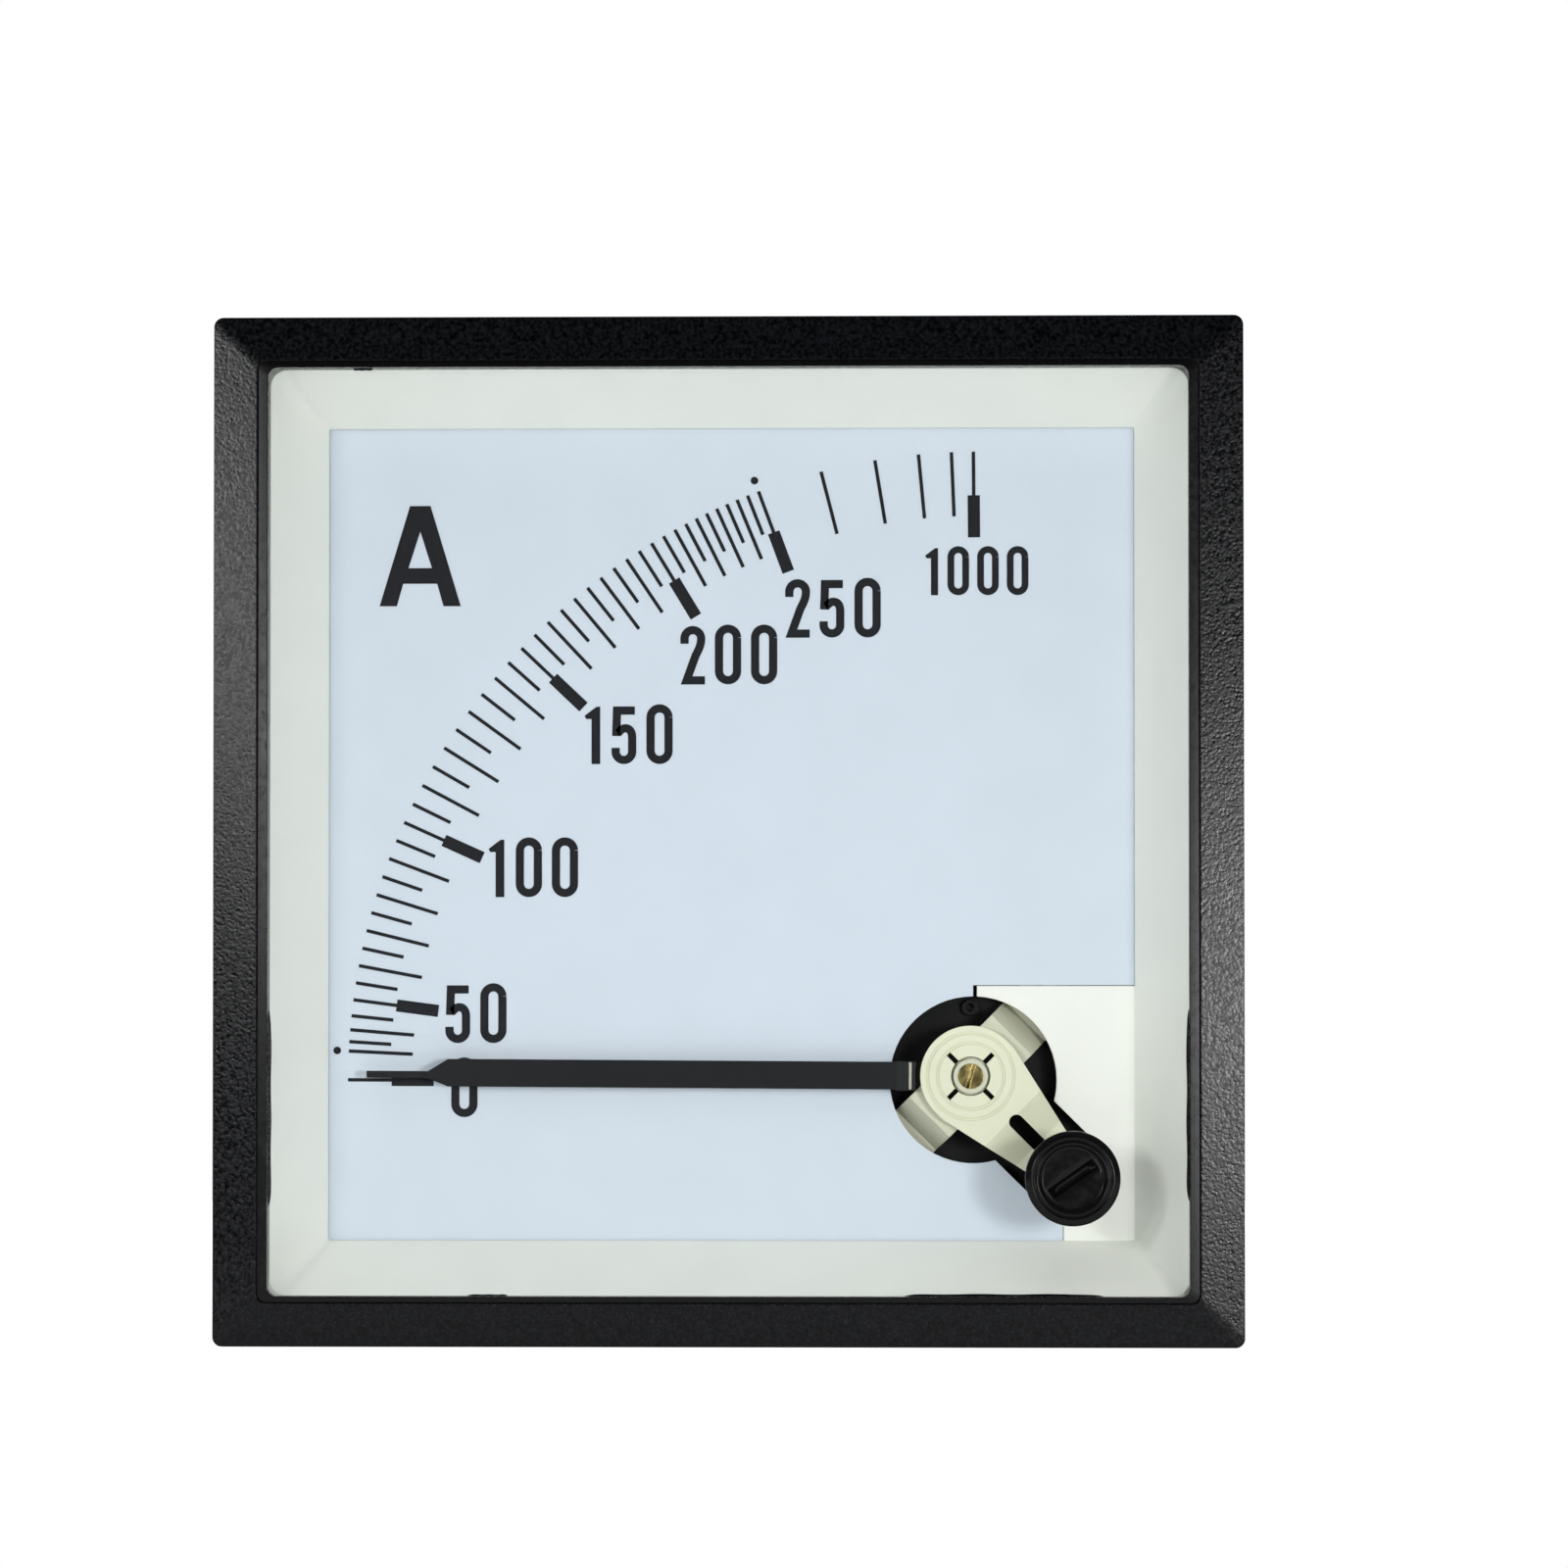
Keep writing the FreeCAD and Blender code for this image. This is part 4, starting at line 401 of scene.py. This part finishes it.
KNOB_CENTRE = (32.0745, -32.3345)
SLOT_RISE = 35.0
PIN_RADIUS = 0.6
PIN_SHIFT = (-PIN_RADIUS * math.cos(math.radians(45)), PIN_RADIUS * math.sin(math.radians(45)))
KNOB_SIDES = 96


def slot_loop(long, wide):
    """A rectangle walked from the middle of a short side, each short side in an eighth of the
    steps and each long side in three eighths."""
    step = np.arange(KNOB_SIDES)
    corners = [0, 6, 42, 54, 90, 96]
    across = np.interp(step, corners, [long, long, -long, -long, long, long])
    up = np.interp(step, corners, [0, wide, wide, -wide, -wide, 0])
    return np.stack([across, up], axis=1)


def round_loop(radius):
    """A circle with as many points: (r cos t, r sin t)."""
    turn = np.arange(KNOB_SIDES) * 2 * np.pi / KNOB_SIDES
    return radius * np.stack([np.cos(turn), np.sin(turn)], axis=1)


def loft_points(rows):
    """Loops carried to their depths: point j of loop i is (x, depth i, z)."""
    points = np.empty((len(rows), len(rows[0][0]), 3))
    for row, (loop, depth) in enumerate(rows):
        points[row, :, 0], points[row, :, 1], points[row, :, 2] = loop[:, 0], depth, loop[:, 1]
    return points.reshape(-1, 3)


def make_knob():
    """A skin from the slot's floor out over the dish, two crests and the rim, then back down
    the shank with its barb to the stalk and the off-centre pin."""
    turn = math.radians(SLOT_RISE)
    spin = np.array([[math.cos(turn), math.sin(turn)], [-math.sin(turn), math.cos(turn)]])
    middle = np.array(KNOB_CENTRE)
    rows = [(slot_loop(2.5, 0.5), -4.0), (slot_loop(2.5, 0.5), -4.64),
            (slot_loop(2.52, 0.52), -4.68), (slot_loop(2.57, 0.57), -4.70)]
    rows += [((1 - share) * slot_loop(2.57, 0.57) + share * round_loop(2.78), depth)
             for share, depth in ((0.3, -4.72), (0.65, -4.715), (1.0, -4.70))]
    face = ((2.86, -4.71), (2.98, -4.80), (3.10, -4.98), (3.20, -5.12), (3.31, -5.17),
            (3.42, -5.15), (3.50, -5.06), (3.56, -5.02), (3.62, -5.05), (3.72, -5.17),
            (3.82, -5.195), (3.93, -5.17), (4.06, -5.08), (4.20, -4.99), (4.33, -4.90),
            (4.40, -4.80), (4.43, -4.66), (4.43, -3.66), (4.41, -3.61), (4.37, -3.60))
    shank = ((2.33, -3.60), (2.30, -3.57), (2.30, -1.62), (2.32, -1.60))
    barb = ((2.72, -1.59), (2.75, -1.55), (2.72, -1.49), (1.76, -1.02))
    stalk = ((1.70, -0.96), (1.70, 5.12), (1.66, 5.18), (1.60, 5.20))
    rows += [(round_loop(radius), depth) for radius, depth in face + shank + barb + stalk]
    rows = [(loop @ spin + middle, depth) for loop, depth in rows]
    pin = middle + np.array(PIN_SHIFT)
    rows += [(round_loop(radius) @ spin + pin, depth)
             for radius, depth in ((0.66, 5.20), (0.60, 5.26), (0.60, 6.72), (0.52, 6.80))]
    faces = grid_faces(len(rows), KNOB_SIDES, close_columns=True)
    faces += end_caps(len(rows), KNOB_SIDES)
    knob = mesh_object("slotted_knob", loft_points(rows), faces, "adjuster",
                       FINISHES["black_knob"])
    face_outwards(knob)
    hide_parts("zero_adjuster")


# Threaded studs and chamfered nuts of the terminals.

STUD_PLACES = (-20.0, 20.0)
STUD_SIDES = 48
ACROSS_FLATS = 8.0
PITCH = 0.8
THREAD_STEPS = 8
CORE_RADIUS = 2.04
PITCH_RADIUS = 2.24
THREAD_RADIUS = 2.5
POINT_RADIUS = 1.95
POINT_SLOPE = 1.2
HEAD_BACK = 42.2
NUT_FRONT = 48.2
NUT_BACK = 52.2
STUD_END = 57.2


def hexagon_radius(turn, flats):
    """Distance to a hexagon's side: half the flats / cos(angle from the nearest side's middle)."""
    return flats / 2 / np.cos((turn + np.pi / 6) % (np.pi / 3) - np.pi / 6)


def ring(turn, radius, depth):
    """A row of one radius at one depth."""
    return np.full_like(turn, radius), np.full_like(turn, depth)


def chamfered_hexagon(turn, flats, face, front, back, rise):
    """Rows over a hexagon whose ends are cut by a cone: beyond the face's radius each end
    moves inwards by (r - face) * rise."""
    side = hexagon_radius(turn, flats)
    cut = np.maximum(side - face, 0.0) * rise
    return [(np.minimum(side, face), np.full_like(turn, front)), (side, front + cut),
            (side, back - cut), (np.minimum(side, face), np.full_like(turn, back))]


def thread_rows(turn, start, end, low, high):
    """Radius low + (high - low) * ridge, a flat-topped wave of depth / pitch - turn / 2 pi,
    under a cone that leaves a point at the end."""
    depth = np.linspace(start, end, int(round((end - start) / PITCH * THREAD_STEPS)) + 1)
    rows = []
    for value in depth:
        phase = (value / PITCH - turn / (2 * np.pi)) % 1.0
        ridge = np.clip(2.3 * (1 - np.abs(2 * phase - 1)) - 0.65, 0.0, 1.0)
        limit = min(high, POINT_RADIUS + (end - value) * POINT_SLOPE)
        rows.append((np.minimum(low + (high - low) * ridge, limit), np.full_like(turn, value)))
    return rows


def polar_skin(rows, turn, x, z=0.0):
    """Rows of (radius, depth) over the same angles: (x + r cos t, y, z + r sin t)."""
    count = len(turn)
    points = np.empty((len(rows), count, 3))
    for row, (radius, depth) in enumerate(rows):
        points[row, :, 0] = x + radius * np.cos(turn)
        points[row, :, 1] = depth
        points[row, :, 2] = z + radius * np.sin(turn)
    return points.reshape(-1, 3), len(rows), count


def join_skins(name, skins, material, hollow=False):
    """Several polar skins as one piece; a hollow one runs round its bore and closes on itself."""
    points, faces, start = [], [], 0
    for skin, rows, count in skins:
        points.append(skin)
        faces += grid_faces(rows, count, start, close_rows=hollow, close_columns=True)
        if not hollow:
            faces += end_caps(rows, count, start)
        start += rows * count
    piece = mesh_object(name, np.vstack(points), faces, "housing", material, smooth=False)
    face_outwards(piece)
    return piece


def make_studs():
    """Hexagon head inside the case, plain shank through the nut and a thread on the free end."""
    turn = np.arange(STUD_SIDES) * 2 * np.pi / STUD_SIDES
    rows = chamfered_hexagon(turn, ACROSS_FLATS, 3.8, 39.4, HEAD_BACK, 0.5)
    rows += [ring(turn, PITCH_RADIUS, HEAD_BACK), ring(turn, PITCH_RADIUS, NUT_BACK)]
    rows += thread_rows(turn, NUT_BACK + 0.02, STUD_END, CORE_RADIUS, THREAD_RADIUS)
    studs = join_skins("threaded_studs", [polar_skin(rows, turn, x) for x in STUD_PLACES],
                       FINISHES["yellow_brass"])
    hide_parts("terminal_studs")


def make_nuts():
    """Hexagon nut with both ends chamfered and a bore countersunk 0.32 mm at each end."""
    turn = np.arange(STUD_SIDES) * 2 * np.pi / STUD_SIDES
    rows = [ring(turn, PITCH_RADIUS + 0.32, NUT_FRONT)]
    rows += chamfered_hexagon(turn, ACROSS_FLATS, 3.75, NUT_FRONT, NUT_BACK, 0.55)
    rows += [ring(turn, PITCH_RADIUS + 0.32, NUT_BACK), ring(turn, PITCH_RADIUS, NUT_BACK - 0.32),
             ring(turn, PITCH_RADIUS, NUT_FRONT + 0.32)]
    nuts = join_skins("chamfered_nuts", [polar_skin(rows, turn, x) for x in STUD_PLACES],
                      FINISHES["plated_steel"], hollow=True)
    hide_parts("terminal_nuts")


# Small black lips that the moulding leaves on the edges of the window, and its smooth land.

WINDOW_SIDE = 42.9
WINDOW_TOP = 43.3
LIP_STEPS = 61
LIP_SIDES = 16

def make_lip(name, along, edge, start, end, reach):
    """An elliptic section carried along a window edge: y = -3.81 + 0.19 cos t, and across it
    edge + w sin t. The half width w is the reach times (1 - 0.97 s^14), where s runs from -1
    at the start to 1 at the end, with a slow wave of an eighth on it."""
    share = np.linspace(-1, 1, LIP_STEPS)[:, None]
    turn = (np.arange(LIP_SIDES) * 2 * np.pi / LIP_SIDES)[None, :]
    swell = reach * (1 - 0.97 * share ** 14) * (1 + 0.12 * np.sin(9.0 * share + start))
    points = np.empty((LIP_STEPS, LIP_SIDES, 3))
    points[:, :, 0 if along == "x" else 2] = start + (end - start) * (share + 1) / 2
    points[:, :, 1] = -3.81 + 0.19 * np.cos(turn)
    points[:, :, 2 if along == "x" else 0] = edge + swell * np.sin(turn)
    faces = grid_faces(LIP_STEPS, LIP_SIDES, close_columns=True)
    faces += end_caps(LIP_STEPS, LIP_SIDES)
    face_outwards(mesh_object(name, points.reshape(-1, 3), faces, "housing",
                              FINISHES["black_frame"]))


def rounded_loop(half_x, half_z, radius, count=9):
    """A rectangle with quarter circles at its corners, walked anticlockwise."""
    corners = []
    for turn, x, z in ((0, 1, 1), (90, -1, 1), (180, -1, -1), (270, 1, -1)):
        corners.append(arc(x * (half_x - radius), z * (half_z - radius), radius,
                           turn, turn + 90, count))
    return np.vstack(corners)


def make_window_step():
    """Smooth land round the window: a section carried round the opening, its face falling outwards
    by 5 degrees, nearly as the bars do, and closed behind inside the frame."""
    section = ((WINDOW_SIDE, WINDOW_TOP, -3.7), (WINDOW_SIDE, WINDOW_TOP, -5.29),
               (WINDOW_SIDE + 0.02, WINDOW_TOP + 0.02, -5.325),
               (WINDOW_SIDE + 0.07, WINDOW_TOP + 0.07, -5.335),
               (43.4, 43.6, -5.30), (43.87, 43.88, -5.255), (43.87, 43.88, -3.7))
    rows = [(rounded_loop(half_x, half_z, 0.9), depth) for half_x, half_z, depth in section]
    faces = grid_faces(len(rows), len(rows[0][0]), close_rows=True, close_columns=True)
    face_outwards(mesh_object("window_step", loft_points(rows), faces, "housing",
                              BLACK_STEP, smooth=False))


# The pointer's sleeve at its clip, and a black ring behind the lever's slits that is painted
# shade: it stands for the shadow in the cavity under them.

PIVOT = (22.67, -22.93)
POINTER_RISE = math.radians(0.36)
SLEEVE_ROUND = 0.08


def make_sleeve(name, sections, material):
    """Rounded rectangles carried outwards along the pointer: at each reach the corner circles,
    of radius e, sit e inside the half width and inside the front and back, and all is turned
    by the pointer's rise."""
    along = np.array([-math.cos(POINTER_RISE), math.sin(POINTER_RISE)])
    across = np.array([math.sin(POINTER_RISE), math.cos(POINTER_RISE)])
    turn = np.radians(np.arange(0, 360, 15) + 7.5)
    points = np.empty((len(sections), len(turn), 3))
    for row, (reach, half, front, back) in enumerate(sections):
        side = (half - SLEEVE_ROUND) * np.sign(np.cos(turn)) + SLEEVE_ROUND * np.cos(turn)
        middle, deep = (front + back) / 2, (back - front) / 2
        flat = np.array(PIVOT) + reach * along + side[:, None] * across
        points[row, :, 0], points[row, :, 2] = flat[:, 0], flat[:, 1]
        points[row, :, 1] = (middle + (deep - SLEEVE_ROUND) * np.sign(np.sin(turn))
                             + SLEEVE_ROUND * np.sin(turn))
    faces = grid_faces(len(sections), len(turn), close_columns=True)
    faces += end_caps(len(sections), len(turn))
    face_outwards(mesh_object(name, points.reshape(-1, 3), faces, "pointer", material,
                              smooth=False))


def make_slit_shade_ring():
    """Flat black ring in the bush's recess, radius 1.88 to 2.95, 0.4 thick: painted shade that
    darkens the lever's slits where the cavity behind them lies in shadow.
    """
    turn = np.arange(STUD_SIDES) * 2 * np.pi / STUD_SIDES
    rows = [ring(turn, radius, depth)
            for radius, depth in ((1.88, 5.3), (2.95, 5.3), (2.95, 5.7), (1.88, 5.7))]
    join_skins("slit_shade_ring", [polar_skin(rows, turn, *PIVOT)],
               FINISHES["black_case"], hollow=True)


# Each row gives the reach along the pointer, the half width, the front and the back.
make_sleeve("pointer_sleeve",
            [(5.18, 1.34, 4.3, 5.14), (5.22, 1.40, 4.22, 5.16), (6.9, 1.40, 4.16, 5.16),
             (6.94, 1.36, 4.18, 5.14), (7.14, 1.32, 4.19, 5.12)],
            FINISHES["black_pointer"])
make_sleeve("pointer_band",
            [(5.56, 1.27, 4.10, 4.4), (5.60, 1.30, 4.07, 4.4), (5.80, 1.30, 4.07, 4.4),
             (5.84, 1.27, 4.10, 4.4)],
            BAND_METAL)
# black ring behind the lever's slits, painted shade for the cavity's shadow
make_slit_shade_ring()
make_window_step()
make_lip("lip_right", "z", WINDOW_SIDE, -34.5, -16.5, 0.24)
make_lip("lip_left", "z", -WINDOW_SIDE, -35.1, -16.6, 0.24)
make_lip("lip_bottom", "x", -WINDOW_TOP, 16.4, 35.0, 0.22)
make_lip("lip_bottom_tab", "x", -WINDOW_TOP, -24.3, -20.5, 0.14)
make_lip("lip_top_tab", "x", WINDOW_TOP, -35.1, -33.2, 0.16)
make_knob()
make_studs()
make_nuts()


# Floor, lights, world and camera.

def make_floor():
    """White floor: a glow beside its own light makes it white to the camera and in mirrors,
    with the object's shadow kept; to all other rays it is plain white paint."""
    wide, front, back = 360.0, -130.0, 420.0
    mesh = bpy.data.meshes.new("floor")
    corners = [(-wide, front), (wide, front), (wide, back), (-wide, back)]
    mesh.from_pydata([(x * MM, y * MM, FLOOR_Z * MM) for x, y in corners], [], [(0, 1, 2, 3)])
    floor = bpy.data.objects.new("floor", mesh)
    bpy.context.scene.collection.objects.link(floor)
    material = new_material("floor_white", (0.8, 0.8, 0.8), 0.9)
    nodes = material.node_tree.nodes
    rays = add_node(material, "ShaderNodeLightPath")
    seen = add_node(material, "ShaderNodeMath", operation="MAXIMUM")
    seen_all = add_node(material, "ShaderNodeMath", operation="MAXIMUM")
    link(material, rays, "Is Camera Ray", seen, 0)
    link(material, rays, "Is Glossy Ray", seen, 1)
    link(material, seen, 0, seen_all, 0)
    link(material, rays, "Is Transmission Ray", seen_all, 1)
    lit = add_node(material, "ShaderNodeBsdfDiffuse", Color=(0.40, 0.40, 0.40, 1.0))
    glow = add_node(material, "ShaderNodeEmission", Color=(1.0, 1.0, 1.0, 1.0), Strength=0.84)
    both = add_node(material, "ShaderNodeAddShader")
    link(material, lit, 0, both, 0)
    link(material, glow, 0, both, 1)
    plain = add_node(material, "ShaderNodeBsdfDiffuse", Color=(0.8, 0.8, 0.8, 1.0))
    mix = add_node(material, "ShaderNodeMixShader")
    link(material, seen_all, 0, mix, 0)
    link(material, plain, 0, mix, 1)
    link(material, both, 0, mix, 2)
    link(material, mix, 0, nodes["Material Output"], "Surface")
    mesh.materials.append(material)


def make_world():
    """White to camera and transmission rays; light and reflections see it dim in front of the
    object and full at its sides and behind."""
    world = bpy.data.worlds.new("studio")
    bpy.context.scene.world = world
    world.use_nodes = True
    world.cycles.sampling_method = "NONE"
    nodes, links = world.node_tree.nodes, world.node_tree.links
    rays = nodes.new("ShaderNodeLightPath")
    ambient = nodes["Background"]
    ambient.inputs["Color"].default_value = (0.97, 0.99, 1.0, 1.0)
    white = nodes.new("ShaderNodeBackground")
    white.inputs["Color"].default_value = (1.0, 1.0, 1.0, 1.0)
    white.inputs["Strength"].default_value = 1.0
    mirrored = nodes.new("ShaderNodeBackground")
    place = nodes.new("ShaderNodeTexCoord")
    split = nodes.new("ShaderNodeSeparateXYZ")
    links.new(place.outputs["Generated"], split.inputs[0])
    levels = ((mirrored, -0.55, 0.35, 0.04), (ambient, -0.85, -0.35, 0.08))
    for background, front, side, dim in levels:
        level = nodes.new("ShaderNodeMapRange")
        for name, value in (("From Min", front), ("From Max", side),
                            ("To Min", dim), ("To Max", 1.0)):
            level.inputs[name].default_value = value
        links.new(split.outputs["Y"], level.inputs["Value"])
        links.new(level.outputs["Result"], background.inputs["Strength"])
    first, second = nodes.new("ShaderNodeMixShader"), nodes.new("ShaderNodeMixShader")
    straight = nodes.new("ShaderNodeMath")
    straight.operation = "MAXIMUM"
    links.new(rays.outputs["Is Camera Ray"], straight.inputs[0])
    links.new(rays.outputs["Is Transmission Ray"], straight.inputs[1])
    links.new(rays.outputs["Is Glossy Ray"], first.inputs[0])
    links.new(ambient.outputs[0], first.inputs[1])
    links.new(mirrored.outputs[0], first.inputs[2])
    links.new(straight.outputs[0], second.inputs[0])
    links.new(first.outputs[0], second.inputs[1])
    links.new(white.outputs[0], second.inputs[2])
    links.new(second.outputs[0], nodes["World Output"].inputs["Surface"])


def make_light(name, place, aim, wide, tall, watts):
    """A rectangular lamp at a place, turned to what it aims at, all in millimetres and watts."""
    data = bpy.data.lights.new(name, "AREA")
    data.shape = "RECTANGLE"
    data.size, data.size_y = wide * MM, tall * MM
    data.energy = watts
    light = bpy.data.objects.new(name, data)
    bpy.context.scene.collection.objects.link(light)
    light.location = Vector(place) * MM
    light.rotation_mode = "QUATERNION"
    light.rotation_quaternion = (Vector(aim) - Vector(place)).to_track_quat("-Z", "Y")


CAMERA_PLACE = Vector((17.4, -605.5, -15.2))
CAMERA_SENSOR = 36.0
FRAME_WIDTH = 145.82


def make_camera():
    """Looks at the middle of the front from where the photograph was taken; the lens makes the
    picture FRAME_WIDTH wide there, and the shift puts the object where the photograph has it."""
    data = bpy.data.cameras.new("camera")
    camera = bpy.data.objects.new("camera", data)
    bpy.context.scene.collection.objects.link(camera)
    sight = Vector((0.0, BEZEL_FRONT, 0.0)) - CAMERA_PLACE
    camera.location = CAMERA_PLACE * MM
    camera.rotation_mode = "QUATERNION"
    camera.rotation_quaternion = sight.to_track_quat("-Z", "Y")
    data.sensor_width = CAMERA_SENSOR
    data.lens = CAMERA_SENSOR * sight.length / FRAME_WIDTH
    data.shift_x, data.shift_y = 0.0361, 0.0298
    data.clip_start, data.clip_end = 0.01, 20.0
    bpy.context.scene.camera = camera


make_floor()
make_world()
make_light("left_softbox", (-204, -355, 62), (0, 0, 0), 66, 70, 0.345)
make_light("right_softbox", (176, -355, -14), (0, 0, 0), 56, 60, 0.54)
make_light("left_glint", (-131, -355, 22), (-45, 0, 10), 46, 46, 0.16)
make_light("right_glint", (114, -355, -18), (45, 0, -10), 44, 40, 0.08)
make_light("top_softbox", (0, 120, 520), (0, 60, 0), 400, 300, 0.8)
make_light("rear_softbox", (150, 600, 380), (0, 30, 0), 400, 400, 1.2)
make_camera()
bpy.context.scene.view_settings.view_transform = "Standard"
